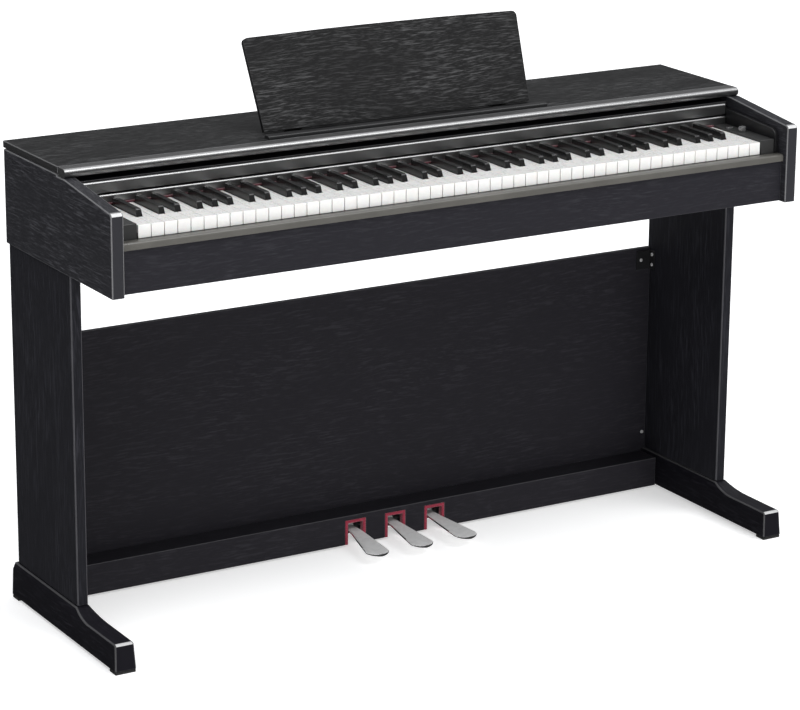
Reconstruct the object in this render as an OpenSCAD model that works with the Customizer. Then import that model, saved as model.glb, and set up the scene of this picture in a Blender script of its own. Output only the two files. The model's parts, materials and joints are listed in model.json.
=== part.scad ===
// Digital piano on its stand: 88 weighted keys in a wooden key unit with a sliding key cover and a
// folding music rest, two panel legs on long feet, a back board and a pedal box with three pedals.
// Frame: X to the player's right, -Y towards the player, +Z up, origin on the floor under the middle.

/* [Overall] */
// Width over the feet
overall_w = 1357; // [1300:1:1450]
// Depth from the front of the key unit to the back of the top board
overall_d = 422; // [400:1:460]
// Height of the top board above the floor
cabinet_h = 815; // [780:1:860]

/* [Key unit] */
// Width over the two side panels
unit_w = 1346; // [1300:1:1440]
// Thickness of a side panel
panel_t = 22; // [18:0.5:25]
// Underside of the side panels above the floor
unit_z = 640; // [600:1:680]
// Height of a side panel at its front edge
panel_front_z = 779; // [760:1:800]
// Thickness of the top board
top_t = 12; // [10:0.5:18]
// Depth of the rounded moulding ahead of the top board
moulding_d = 28; // [20:1:40]
// Thickness of the key bed
bed_t = 18; // [12:1:25]
// Thickness of a cheek
cheek_t = 7.7; // [5:0.1:12]

/* [Keyboard] */
// Distance from one white key to the next
key_pitch = 23.57; // [22.5:0.01:24]
// Front face of the white keys
key_front_y = -183; // [-190:1:-170]
// Top of the white keys above the floor
key_top_z = 749; // [735:1:760]
// Height of a white key's front face
key_lip_h = 22; // [18:1:26]
// Gap between neighbouring white keys
key_gap = 1.07; // [0.8:0.01:1.5]
// Width of a black key at its foot
black_w = 11; // [9:0.1:12]
// Height of a black key above the white keys
black_h = 12; // [10:0.5:14]
// Radius of the rod that the keys turn on
rod_r = 1.5; // [1:0.1:3]

/* [Key cover] */
// Slope of the key cover's track
cover_slope = 4; // [2:0.5:6]
// Top of the cover's lip in the open position
cover_top_z = 789; // [785:1:795]
// Thickness of the cover board
cover_t = 9; // [6:0.5:12]

/* [Music rest] */
// Lean of the raised rest from the upright
rest_lean = 22.4; // [15:0.1:35]
// Height of the rest board along its slope
rest_h = 163; // [140:1:180]
// Half width of the rest at its foot
rest_half_foot = 266; // [200:1:300]
// Half width of the rest at its head
rest_half_head = 275; // [200:1:310]
// Thickness of the rest board
rest_t = 8; // [6:0.5:12]

/* [Stand] */
// Thickness of a leg
leg_t = 19.5; // [15:0.5:22]
// Outer face of the legs from the middle
leg_x = 668; // [640:1:670]
// Width of a foot at the floor
foot_w = 39; // [32:1:50]
// Width of a foot at its top, beside the leg
foot_top_w = 24; // [20:1:36]
// Height of a foot at its front
foot_front_h = 52; // [40:1:70]
// Height of a foot beside the leg
foot_back_h = 64; // [45:1:80]
// Height of the foot pads
pad_h = 5; // [3:0.5:8]
// Top edge of the back board
board_top_z = 467; // [400:1:520]
// Thickness of the back board
board_t = 9; // [6:0.5:15]

/* [Pedals] */
// Distance from one pedal to the next
pedal_pitch = 84; // [60:1:90]
// Middle pedal from the middle of the piano
pedal_mid_x = 57; // [0:1:80]
// How far the tips of the outer pedals lean outwards
pedal_lean = 9; // [0:1:12]
// Front face of the pedal box
box_front_y = 142; // [130:1:160]
// Top of the pedal box
box_top_z = 60; // [50:1:80]

/* [Hidden] */
$fn = 64;
seam = 0.3;
front_y = -overall_d / 2;
back_y = overall_d / 2;
panel_x = unit_w / 2;
inner_x = panel_x - panel_t;
panel_back_y = 203;
slope_end_y = -36;
moulding_r = 7.5;
top_z = cabinet_h - top_t;
moulding_z = cabinet_h - 2 * moulding_r;
panel_step_z = moulding_z - seam;
panel_slope = (panel_step_z - panel_front_z) / (slope_end_y - front_y);
board_front_y = slope_end_y + moulding_d;
bed_z = unit_z + 6;
bed_top_z = bed_z + bed_t;
rail_front_y = -197;
rail_back_y = -185.3;
slip_z = key_top_z - key_lip_h - 12.7;
slip_top_z = key_top_z - key_lip_h;
cheek_x = inner_x - cheek_t - seam;
block_x = 614.8;
block_front_y = -183;
block_top_z = key_top_z + 3;
block_back_y = 40;
cover_rise = tan(cover_slope);
cover_front_y = -36;
cover_lip_d = 10;
cover_back_y = 146;
lip_h = 20;
fall_front_y = -37;
fall_z = block_top_z + seam;
fall_top_z = key_top_z + 17;
felt_front_y = -41.5;
// controls
knob_x = 630;
knob_y = -105;
knob_r = 6.5;
knob_h = 9;
knob_stem_r = 3;
knob_seat_z = block_top_z - 8;
button_low = [619, -78, block_top_z - 4];
button_high = [631, -70, block_top_z + 2.2];
button_depth = 2;
phones_bore_r = 3.25;
dc_bore_r = 2.8;
speaker_x = 430;
speaker_y = 137;
// keys
white_count = 52;
tail_y = 70;
notch_y = -133;
hinge_y = 60;
hinge_z = key_top_z - 7;
white_t = 14;
lip_t = 3;
black_clear = 1.3;
black_back_y = -43;
stem_w = 9.5;
stem_top_z = key_top_z - 1;
bore_r = rod_r + 0.06;
// Offsets of the black keys from the seam between two white keys: C sharp, D sharp, F, G and A sharp
black_shift = [-2.8, 2.8, -4.2, 0, 4.2];
black_after = [0, 1, 3, 4, 5];
first_oct_x = -white_count / 2 * key_pitch + 2 * key_pitch;
mid_octave = 3;
// rest
rest_pivot_y = 50;
rest_pivot_z = cabinet_h + 4;
rest_gap = 2.5;
rest_tail = 4;
rest_corner = 9;
prop_len = 70;
prop_r = 1.9;
prop_w = 12;
prop_lug_r = 3.6;
prop_x = [-120, 120];
hinge_x = [-205, 205];
knuckle_w = 20;
knuckle_r = 3.6;
hinge_pin_r = 1.5;
// stand
leg_front_y = -40.5;
leg_back_y = 203;
leg_in_x = leg_x - leg_t;
leg_top_z = unit_z - seam;
foot_x = overall_w / 2;
foot_in_x = foot_x - foot_w;
foot_shoulder = (foot_w - foot_top_w) / 2;
foot_front_y = -205;
foot_arc_y = -100;
foot_taper = 2.5;
board_back_y = 203;
board_y = board_back_y - board_t;
stand_in_x = leg_in_x - seam;
box_x = overall_w / 2 - foot_w - seam;
box_back_y = board_y - seam;
box_z = 4;
box_wall = 12;
slot_w = 43;
slot_top_z = 51;
felt_t = 6;
pedal_w = 24;
pedal_root_y = 135;
pedal_root_z = 30.5;
pedal_tip_y = 28;
pedal_tip_z = 21.5;
pedal_t = 6.5;
axle_y = 178;
axle_z = 27;
axle_r = 3;
axle_fit = 0.06;
adjuster_x = pedal_mid_x + pedal_pitch / 2;
adjuster_y = 165;
adjuster_r = 5;
pedal_xs = [pedal_mid_x - pedal_pitch, pedal_mid_x, pedal_mid_x + pedal_pitch];

// ---------------------------------------------------------------- helpers

// A box given by its low and high corners.
module block(low, high) {
    translate(low)
        cube(high - low);
}

// Extrudes a (y, z) outline along X from x0 to x1.
module along_x(x0, x1) {
    translate([x0, 0, 0])
        rotate([90, 0, 90])
            linear_extrude(height = x1 - x0)
                children();
}

// A rod along X.
module rod_x(x0, x1, y, z, r) {
    translate([x0, y, z])
        rotate([0, 90, 0])
            cylinder(h = x1 - x0, r = r);
}

// A rod along Y.
module rod_y(y0, y1, x, z, r) {
    translate([x, y0, z])
        rotate([-90, 0, 0])
            cylinder(h = y1 - y0, r = r);
}

// Height of the side panel's slope at y.
function slope_z(y) = panel_front_z + panel_slope * (y - front_y);

// Height of the cover board's top face at y.
function cover_z(y) = cover_top_z + cover_rise * (y - cover_front_y);

// ---------------------------------------------------------------- key unit

module side_panel() {
    nose_r = 7;
    nose_z = slope_z(front_y + nose_r) - nose_r * 1.008;
    along_x(inner_x, panel_x)
        union() {
            polygon([[front_y, unit_z], [panel_back_y, unit_z], [panel_back_y, top_z - seam],
                [board_front_y - seam, top_z - seam], [board_front_y - seam, panel_step_z],
                [slope_end_y, panel_step_z], [front_y + nose_r, slope_z(front_y + nose_r)],
                [front_y, nose_z]]);
            translate([front_y + nose_r, nose_z])
                circle(r = nose_r);
        }
}

module side_panel_right() {
    color("#2b2b30")
        side_panel();
}

module side_panel_left() {
    color("#2b2b30")
        mirror([1, 0, 0])
            side_panel();
}

module top_board() {
    color("#2b2b30")
        block([-panel_x + 2.5, board_front_y, top_z], [panel_x - 2.5, back_y, cabinet_h]);
}

module top_moulding() {
    color("#1c1c20")
        along_x(-panel_x + 2.5, panel_x - 2.5)
            union() {
                translate([slope_end_y + moulding_r, moulding_z + moulding_r])
                    circle(r = moulding_r);
                translate([slope_end_y + moulding_r, moulding_z])
                    square([moulding_d - moulding_r - seam, 2 * moulding_r]);
            }
}

module key_bed() {
    speaker_hole_r = 44;
    color("#26262a")
        difference() {
            block([-inner_x + seam, rail_back_y + seam, bed_z], [inner_x - seam, 190.5, bed_top_z]);
            for (x = [-speaker_x, speaker_x])
                translate([x, speaker_y, bed_z - 1])
                    cylinder(h = bed_t + 2, r = speaker_hole_r);
        }
}

module front_rail() {
    color("#303036")
        block([-inner_x + seam, rail_front_y, unit_z + 1.5], [inner_x - seam, rail_back_y, slip_z - seam]);
}

module key_slip() {
    slip_front_y = -202;
    slip_r = 5;
    color("#4a4a4c")
        along_x(-inner_x + seam, inner_x - seam)
            union() {
                translate([slip_front_y + slip_r, slip_top_z - slip_r])
                    circle(r = slip_r);
                translate([slip_front_y, slip_z])
                    square([rail_back_y - slip_front_y, slip_top_z - slip_r - slip_z]);
                translate([slip_front_y + slip_r, slip_z])
                    square([rail_back_y - slip_front_y - slip_r, slip_top_z - slip_z]);
            }
}

module cheek() {
    cheek_front_y = -186;
    cheek_back_y = 188;
    nose_r = 16;
    track = cover_t + 0.5;
    nose_z = cover_z(cheek_front_y + nose_r) - track - nose_r;
    along_x(cheek_x, cheek_x + cheek_t)
        union() {
            polygon([[cheek_front_y, slip_top_z + seam], [cheek_front_y, nose_z],
                [cheek_front_y + nose_r, cover_z(cheek_front_y + nose_r) - track],
                [cheek_back_y, cover_z(cheek_back_y) - track],
                [cheek_back_y, slip_top_z + seam]]);
            translate([cheek_front_y + nose_r, nose_z])
                circle(r = nose_r);
        }
}

module cheeks() {
    color("#222226")
        for (side = [0, 1])
            mirror([side, 0, 0])
                cheek();
}

module end_block() {
    block([block_x, block_front_y, bed_top_z + seam], [cheek_x - seam, block_back_y, block_top_z]);
}

module end_block_left() {
    color("#3a3a3d")
        mirror([1, 0, 0])
            end_block();
}

module end_block_right() {
    color("#3a3a3d")
        difference() {
            end_block();
            translate([knob_x, knob_y, knob_seat_z])
                cylinder(h = 20, r = knob_stem_r + 0.08);
            block(button_low - [0.4, 0.4, button_depth], button_high + [0.4, 0.4, 1]);
        }
}

module fallboard() {
    nose_r = 4;
    color("#1e1e22")
        along_x(-cheek_x + seam, cheek_x - seam)
            union() {
                translate([fall_front_y + nose_r, fall_top_z - nose_r])
                    circle(r = nose_r);
                translate([fall_front_y, fall_z])
                    square([block_back_y - fall_front_y, fall_top_z - nose_r - fall_z]);
                translate([fall_front_y + nose_r, fall_z])
                    square([block_back_y - fall_front_y - nose_r, fall_top_z - fall_z]);
            }
}

module key_felt() {
    color("#5a1420")
        block([-block_x + seam, felt_front_y, key_top_z + 0.5], [block_x - seam, -26, fall_z - 0.1]);
}

module rear_panel() {
    color("#26262a")
        block([-inner_x + seam, 191, bed_z], [inner_x - seam, panel_back_y, top_z - seam]);
}

module key_frame() {
    frame_x = 613.5;
    lug_t = 3.5;
    color("#8c8f92")
        difference() {
            union() {
                block([-frame_x, -165, bed_top_z + seam], [frame_x, 84, bed_top_z + 4]);
                block([-frame_x, 81, bed_top_z + 3], [frame_x, 84, key_top_z]);
                for (side = [0, 1])
                    mirror([side, 0, 0])
                        block([frame_x - 0.6, 50, bed_top_z + seam],
                            [frame_x - 0.6 + lug_t, 84, hinge_z + 8]);
            }
            rod_x(-frame_x - 10, frame_x + 10, hinge_y, hinge_z, bore_r);
        }
}

module key_rod() {
    color("#b8babd")
        rod_x(-619, 619, hinge_y, hinge_z, rod_r);
}

// ---------------------------------------------------------------- electronics

module sound_board() {
    board_low = [-150, 96, bed_top_z + 8];
    board_high = [90, 180, bed_top_z + 9.6];
    chip = 22;
    color("#1f5a34")
        union() {
            block(board_low, board_high);
            for (x = [-140, 80], y = [100, 172])
                translate([x, y, bed_top_z + seam])
                    cylinder(h = 8, r = 3);
            for (x = [-110, -50, 10])
                block([x, 120, board_high.z - 0.1], [x + chip, 120 + chip, board_high.z + 2.2]);
            for (x = [-120, -95, 45, 70])
                translate([x, 160, board_high.z - 0.1])
                    cylinder(h = 12, r = 5);
        }
}

module speaker() {
    frame_r = 50;
    magnet_r = 26;
    translate([0, 0, bed_top_z + seam])
        difference() {
            union() {
                cylinder(h = 4, r = frame_r);
                cylinder(h = 30, r1 = frame_r - 6, r2 = magnet_r - 4);
                translate([0, 0, 28])
                    cylinder(h = 18, r = magnet_r);
            }
            translate([0, 0, -1])
                cylinder(h = 24, r1 = frame_r - 9, r2 = 12);
        }
}

module speakers() {
    color("#202022")
        for (x = [-speaker_x, speaker_x])
            translate([x, speaker_y, 0])
                speaker();
}

module speaker_grilles() {
    grille_r = 52;
    color("#18181a")
        for (x = [-speaker_x, speaker_x])
            translate([x, speaker_y, bed_z - seam - 2])
                cylinder(h = 2, r = grille_r);
}

module phones_box() {
    low = [-620, -95, bed_z - 30];
    high = [-540, -15, bed_z - seam];
    color("#242428")
        difference() {
            block(low, high);
            for (x = [-600, -560])
                rod_y(low.y - 1, low.y + 22, x, bed_z - 15, phones_bore_r);
        }
}

module terminal_box() {
    low = [-340, 150, bed_z - 34];
    high = [-250, 200, bed_z - seam];
    color("#242428")
        difference() {
            block(low, high);
            rod_y(high.y - 12, high.y + 1, -325, bed_z - 17, dc_bore_r);
            block([-300, high.y - 9, bed_z - 23], [-287.5, high.y + 1, bed_z - 12]);
        }
}

// ---------------------------------------------------------------- key cover

module key_cover() {
    board_y = cover_front_y + cover_lip_d + seam;
    color("#26262b")
        along_x(-inner_x + seam, inner_x - seam)
            polygon([[board_y, cover_z(board_y)], [cover_back_y, cover_z(cover_back_y)],
                [cover_back_y, cover_z(cover_back_y) - cover_t], [board_y, cover_z(board_y) - cover_t]]);
}

module cover_lip() {
    lip_r = cover_lip_d / 2;
    color("#1c1c20")
        along_x(-cheek_x + 0.5, cheek_x - 0.5)
            union() {
                translate([cover_front_y + lip_r, cover_top_z - lip_r])
                    circle(r = lip_r);
                translate([cover_front_y, cover_top_z - lip_h])
                    square([cover_lip_d, lip_h - lip_r]);
            }
}

// ---------------------------------------------------------------- controls

module volume_knob() {
    color("#55565a")
        translate([knob_x, knob_y, 0])
            union() {
                translate([0, 0, knob_seat_z + 1])
                    cylinder(h = 10, r = knob_stem_r);
                translate([0, 0, block_top_z + 0.5])
                    cylinder(h = knob_h, r = knob_r);
            }
}

module power_button() {
    color("#55565a")
        block(button_low, button_high);
}

// ---------------------------------------------------------------- keys

// X of the seam between white keys i and i + 1 of an octave, counted from its C.
function seam_x(octave, i) = first_oct_x + (octave * 7 + i + 1) * key_pitch;

// Middle of black key n of an octave.
function black_x(octave, n) = seam_x(octave, black_after[n]) + black_shift[n];

// Middle of white key i of an octave; the keys below the first C have an i below 0.
function white_x(octave, i) = seam_x(octave, i) - key_pitch / 2;

// A white key whose tail is cut back for a black key on its left or right, or for none.
module white_key(x, left_black, right_black) {
    half = (key_pitch - key_gap) / 2;
    low_z = key_top_z - white_t;
    tail_left = left_black == undef ? x - half : max(x - half, left_black + black_w / 2 + black_clear);
    tail_right = right_black == undef ? x + half : min(x + half, right_black - black_w / 2 - black_clear);
    difference() {
        union() {
            block([x - half, key_front_y, low_z], [x + half, notch_y - black_clear, key_top_z]);
            block([x - half, key_front_y, slip_top_z], [x + half, key_front_y + lip_t, key_top_z]);
            block([tail_left, notch_y - black_clear - 1, low_z], [tail_right, tail_y, key_top_z]);
        }
        rod_x(x - key_pitch, x + key_pitch, hinge_y, hinge_z, bore_r);
    }
}

// A black key: a tapered cap with a raked front on a narrow stem that runs back to the rod.
module black_key(x) {
    top_w = 9;
    rake = 5;
    cap_z = key_top_z + black_h;
    low_z = key_top_z - white_t;
    difference() {
        union() {
            intersection() {
                translate([x, black_back_y, 0])
                    rotate([90, 0, 0])
                        linear_extrude(height = black_back_y - notch_y)
                            polygon([[-black_w / 2, stem_top_z - 1], [black_w / 2, stem_top_z - 1],
                                [top_w / 2, cap_z], [-top_w / 2, cap_z]]);
                along_x(x - black_w, x + black_w)
                    polygon([[notch_y, stem_top_z - 1], [black_back_y, stem_top_z - 1],
                        [black_back_y, cap_z], [notch_y + rake, cap_z]]);
            }
            block([x - stem_w / 2, notch_y, low_z], [x + stem_w / 2, tail_y, stem_top_z]);
        }
        rod_x(x - key_pitch, x + key_pitch, hinge_y, hinge_z, bore_r);
    }
}

// The black key to the left and right of each white key C D E F G A B, or -1 for none.
black_left = [-1, 0, 1, -1, 2, 3, 4];
black_right = [0, 1, -1, 2, 3, 4, -1];

module octave_white(octave, i) {
    white_key(white_x(octave, i),
        black_left[i] < 0 ? undef : black_x(octave, black_left[i]),
        black_right[i] < 0 ? undef : black_x(octave, black_right[i]));
}

module octave_black(octave, n) {
    black_key(black_x(octave, n));
}

module white_keys_low() {
    color("#efece0") {
        white_key(white_x(0, -2), undef, black_x(-1, 4));
        octave_white(-1, 6);
        for (octave = [0 : mid_octave - 1], i = [0 : 6])
            octave_white(octave, i);
    }
}

module black_keys_low() {
    color("#0d0d0f") {
        octave_black(-1, 4);
        for (octave = [0 : mid_octave - 1], n = [0 : 4])
            octave_black(octave, n);
    }
}

module white_keys_high() {
    color("#efece0") {
        for (octave = [mid_octave + 1 : 6], i = [0 : 6])
            octave_white(octave, i);
        white_key(white_x(7, 0), undef, undef);
    }
}

module black_keys_high() {
    color("#0d0d0f")
        for (octave = [mid_octave + 1 : 6], n = [0 : 4])
            octave_black(octave, n);
}

module mid_white(i) {
    color("#efece0")
        octave_white(mid_octave, i);
}

module mid_black(n) {
    color("#0d0d0f")
        octave_black(mid_octave, n);
}

module key_c() {
    mid_white(0);
}

module key_d() {
    mid_white(1);
}

module key_e() {
    mid_white(2);
}

module key_f() {
    mid_white(3);
}

module key_g() {
    mid_white(4);
}

module key_a() {
    mid_white(5);
}

module key_b() {
    mid_white(6);
}

module key_c_sharp() {
    mid_black(0);
}

module key_d_sharp() {
    mid_black(1);
}

module key_f_sharp() {
    mid_black(2);
}

module key_g_sharp() {
    mid_black(3);
}

module key_a_sharp() {
    mid_black(4);
}

// ---------------------------------------------------------------- music rest

// Places children, drawn flat with their back face up from the hinge line, in the raised pose.
module raised() {
    translate([0, rest_pivot_y, rest_pivot_z])
        rotate([90 - rest_lean, 0, 0])
            children();
}

module music_rest() {
    bow = 3;
    bow_r = (rest_half_head * rest_half_head + bow * bow) / (2 * bow);
    relief_r = knuckle_r + 0.7;
    color("#2b2b30")
        raised()
            difference() {
                union() {
                    translate([0, 0, rest_gap])
                        linear_extrude(height = rest_t)
                            rest_outline(bow_r);
                    for (x = hinge_x)
                        rod_x(x - knuckle_w / 2, x + knuckle_w / 2, 0, 0, knuckle_r);
                    for (x = prop_x, side = [-1, 1])
                        translate([x + side * (prop_w / 2 + 2), prop_len, 0])
                            union() {
                                rod_x(-1.7, 1.7, 0, 0, prop_lug_r);
                                block([-1.7, -prop_lug_r, 0], [1.7, prop_lug_r, rest_gap + 0.5]);
                            }
                }
                for (x = hinge_x) {
                    for (side = [-1, 1])
                        rod_x(x + side * (knuckle_w / 2 + 4.5) - 4.5, x + side * (knuckle_w / 2 + 4.5) + 4.5,
                            0, 0, relief_r);
                    rod_x(x - knuckle_w, x + knuckle_w, 0, 0, hinge_pin_r + 0.06);
                }
                for (x = prop_x) {
                    rod_x(x - prop_w, x + prop_w, prop_len, 0, prop_r + 0.06);
                    block([x - prop_w / 2 - 1.5, 2 * prop_len - 5, 0],
                        [x + prop_w / 2 + 1.5, 2 * prop_len + 5, rest_gap + 1.8]);
                }
            }
}

// Outline of the rest board: wider at the head, with rounded corners and a bowed head.
module rest_outline(bow_r) {
    head_y = rest_h - rest_tail;
    cap_y = head_y - rest_corner;
    half_at_cap = rest_half_head - 1;
    intersection() {
        union() {
            polygon([[-rest_half_foot, -rest_tail], [rest_half_foot, -rest_tail],
                [half_at_cap, cap_y], [half_at_cap - rest_corner, cap_y + rest_corner],
                [half_at_cap - rest_corner, head_y + 4], [-half_at_cap + rest_corner, head_y + 4],
                [-half_at_cap + rest_corner, cap_y + rest_corner], [-half_at_cap, cap_y]]);
            for (side = [-1, 1])
                translate([side * (half_at_cap - rest_corner), cap_y])
                    circle(r = rest_corner);
        }
        translate([0, head_y + 3 - bow_r])
            circle(r = bow_r, $fn = 720);
    }
}

module rest_props() {
    color("#8d9094")
        translate([0, rest_pivot_y, rest_pivot_z])
            rotate([90 - rest_lean, 0, 0])
                translate([0, prop_len, 0])
                    rotate([-2 * (90 - rest_lean), 0, 0])
                        for (x = prop_x) {
                            rod_x(x - prop_w / 2 - 3.5, x + prop_w / 2 + 3.5, 0, 0, prop_r);
                            block([x - prop_w / 2, 0, -1], [x + prop_w / 2, prop_len, 1]);
                            rod_x(x - prop_w / 2, x + prop_w / 2, prop_len, 0, prop_lug_r);
                        }
}

module rest_hinges() {
    lug_w = 7;
    base_y = 4;
    color("#7c7f83")
        for (x = hinge_x) {
            for (side = [-1, 1]) {
                centre = x + side * (knuckle_w / 2 + 0.3 + lug_w / 2);
                rod_x(centre - lug_w / 2, centre + lug_w / 2, rest_pivot_y, rest_pivot_z, knuckle_r - 0.1);
                block([centre - lug_w / 2, rest_pivot_y - base_y / 2, cabinet_h + 0.2],
                    [centre + lug_w / 2, rest_pivot_y + base_y, rest_pivot_z]);
            }
            rod_x(x - knuckle_w / 2 - 5, x + knuckle_w / 2 + 5, rest_pivot_y, rest_pivot_z, hinge_pin_r);
        }
}

module music_ledge() {
    ledge_r = 2.4;
    color("#1c1c20")
        along_x(-279, 279)
            union() {
                translate([-1 + ledge_r, cabinet_h + 0.2 + 2.9])
                    circle(r = ledge_r);
                translate([-1, cabinet_h + 0.2])
                    square([15, 2.9]);
                translate([-1 + ledge_r, cabinet_h + 0.2])
                    square([15 - ledge_r, 5.3]);
            }
}

// ---------------------------------------------------------------- stand

module leg() {
    block([leg_in_x, leg_front_y, foot_back_h + seam], [leg_x, leg_back_y, leg_top_z]);
}

module leg_right() {
    color("#2b2b30")
        leg();
}

module leg_left() {
    color("#2b2b30")
        mirror([1, 0, 0])
            leg();
}

// A foot: narrow top under the leg, sloped shoulders, and a hollow sweep down to a lower, wider front.
module foot() {
    rise = foot_back_h - foot_front_h;
    run = leg_front_y - foot_arc_y;
    sweep_r = (run * run + rise * rise) / (2 * rise);
    intersection() {
        along_x(foot_in_x, foot_x)
            difference() {
                polygon([[foot_front_y, pad_h], [back_y, pad_h], [back_y, foot_back_h],
                    [leg_front_y, foot_back_h], [foot_arc_y, foot_back_h],
                    [foot_arc_y, foot_front_h], [foot_front_y + 4, foot_front_h]]);
                translate([foot_arc_y, foot_front_h + sweep_r])
                    circle(r = sweep_r, $fn = 360);
            }
        translate([0, back_y + 1, 0])
            rotate([90, 0, 0])
                linear_extrude(height = overall_d + 2)
                    polygon([[foot_in_x, 0], [foot_x, 0], [foot_x - foot_taper, foot_front_h],
                        [foot_x - foot_shoulder, foot_back_h], [foot_in_x + foot_shoulder, foot_back_h],
                        [foot_in_x + foot_taper, foot_front_h]]);
    }
}

module foot_right() {
    color("#2b2b30")
        foot();
}

module foot_left() {
    color("#2b2b30")
        mirror([1, 0, 0])
            foot();
}

module foot_pads() {
    pad_l = 24;
    color("#232325")
        for (side = [-1, 1], y = [foot_front_y + 1, back_y - pad_l - 1])
            translate([side * (foot_x - foot_w / 2), 0, 0])
                block([-foot_w / 2 + 1, y, 0], [foot_w / 2 - 1, y + pad_l, pad_h - 0.1]);
}

module back_board() {
    color("#2b2b30")
        union() {
            block([-stand_in_x, board_y, foot_back_h + seam], [stand_in_x, board_back_y, board_top_z]);
            block([-box_x, board_y, box_z], [box_x, board_back_y, foot_back_h + 1]);
        }
}

module brackets() {
    plate = 2;
    reach = 32;
    tall = 36;
    color("#1d1d20")
        for (side = [0, 1])
            mirror([side, 0, 0])
                translate([0, board_y - seam, board_top_z - tall - 6])
                    union() {
                        block([stand_in_x - reach, -plate, 0], [stand_in_x, 0, tall]);
                        block([stand_in_x - plate, -16, 0], [stand_in_x, 0, tall]);
                    }
}

module screws() {
    head_r = 3.4;
    head_t = 2;
    plate_y = board_y - seam - 2.3;
    plate_x = stand_in_x - 2.3;
    color("#b9bbbe")
        for (side = [0, 1])
            mirror([side, 0, 0])
                union() {
                    rod_y(plate_y - head_t, plate_y, stand_in_x - 23, board_top_z - 23, head_r);
                    rod_y(board_y - seam - head_t, board_y - seam, stand_in_x - 8, 98, head_r);
                    for (z = [board_top_z - 33, board_top_z - 13])
                        rod_x(plate_x - head_t, plate_x, board_y - 9.5, z, head_r);
                }
}

// ---------------------------------------------------------------- pedals

module pedal_box() {
    color("#2b2b30")
        difference() {
            union() {
                block([-box_x, box_front_y, box_z], [box_x, box_front_y + box_wall, box_top_z]);
                block([-box_x, box_front_y, box_top_z - 9], [box_x, box_back_y, box_top_z]);
            }
            for (x = pedal_xs)
                block([x - slot_w / 2, box_front_y - 1, box_z - 1],
                    [x + slot_w / 2, box_front_y + box_wall + 1, slot_top_z]);
        }
}

module pedal_felts() {
    felt_y = box_front_y - 0.5;
    color("#6b1624")
        for (x = pedal_xs)
            difference() {
                block([x - slot_w / 2 + 0.1, felt_y, box_z],
                    [x + slot_w / 2 - 0.1, felt_y + 11, slot_top_z - 0.1]);
                block([x - slot_w / 2 + felt_t, felt_y - 1, box_z - 1],
                    [x + slot_w / 2 - felt_t, felt_y + 12, slot_top_z - felt_t]);
            }
}

module pedal_bracket() {
    lug_t = 3;
    low_x = pedal_xs[0] - 24;
    high_x = pedal_xs[2] + 24;
    color("#8d9094")
        difference() {
            union() {
                block([low_x, axle_y - 10, 47], [high_x, box_back_y - 1, 50.5]);
                for (x = [low_x, pedal_xs[0] + 18, pedal_xs[1] + 18, high_x - lug_t])
                    block([x, axle_y - 8, axle_z - 7], [x + lug_t, axle_y + 8, 48]);
                block([pedal_xs[1] + 18, adjuster_y - 8, 36], [adjuster_x + 16, adjuster_y + 8, 40]);
                block([adjuster_x + 14, adjuster_y - 8, 36], [adjuster_x + 16, adjuster_y + 8, 48]);
            }
            translate([adjuster_x, adjuster_y, 30])
                cylinder(h = 14, r = adjuster_r + 0.08);
            rod_x(low_x - 1, high_x + 1, axle_y, axle_z, axle_r + axle_fit);
        }
}

module pedal_axle() {
    color("#c4c6c9")
        rod_x(pedal_xs[0] - 27, pedal_xs[2] + 27, axle_y, axle_z, axle_r);
}

// Where a line from an outer point meets a circle, nearly touching it, on the clockwise (-1) or the
// other (1) side.
function tangent_point(centre, r, outer, side) =
    let (away = outer - centre, turn = atan2(away[1], away[0]) + side * acos(r / norm(away)))
    centre + 0.985 * r * [cos(turn), sin(turn)];

// A pedal: arm from the axle that slopes down and widens to a round tip.
module pedal(x, lean) {
    tip_r = 22.5;
    hub_r = 6.5;
    half_w = pedal_w / 2;
    neck_y = pedal_root_y + 4;
    tip_mid = [lean, pedal_tip_y + tip_r];
    color("#c9cbce")
        difference() {
            union() {
                intersection() {
                    translate([x, 0, 0])
                        linear_extrude(height = pedal_root_z + 1)
                            union() {
                                translate(tip_mid)
                                    circle(r = tip_r);
                                polygon([tangent_point(tip_mid, tip_r, [half_w, neck_y], -1),
                                    [half_w, neck_y], [half_w, axle_y], [-half_w, axle_y],
                                    [-half_w, neck_y],
                                    tangent_point(tip_mid, tip_r, [-half_w, neck_y], 1)]);
                            }
                    along_x(x - 40, x + 40)
                        polygon([[pedal_tip_y - 1, pedal_tip_z], [pedal_root_y, pedal_root_z],
                            [axle_y, pedal_root_z], [axle_y, pedal_root_z - pedal_t],
                            [pedal_root_y, pedal_root_z - pedal_t],
                            [pedal_tip_y - 1, pedal_tip_z - pedal_t]]);
                }
                rod_x(x - half_w, x + half_w, axle_y, axle_z, hub_r);
            }
            rod_x(x - pedal_w, x + pedal_w, axle_y, axle_z, axle_r + axle_fit);
        }
}

module pedal_left() {
    pedal(pedal_xs[0], -pedal_lean);
}

module pedal_middle() {
    pedal(pedal_xs[1], 0);
}

module pedal_right() {
    pedal(pedal_xs[2], pedal_lean);
}

module adjuster() {
    pad_r = 10;
    color("#202022")
        translate([adjuster_x, adjuster_y, 0])
            union() {
                cylinder(h = 8, r = pad_r);
                cylinder(h = 41, r = adjuster_r);
            }
}

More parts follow.
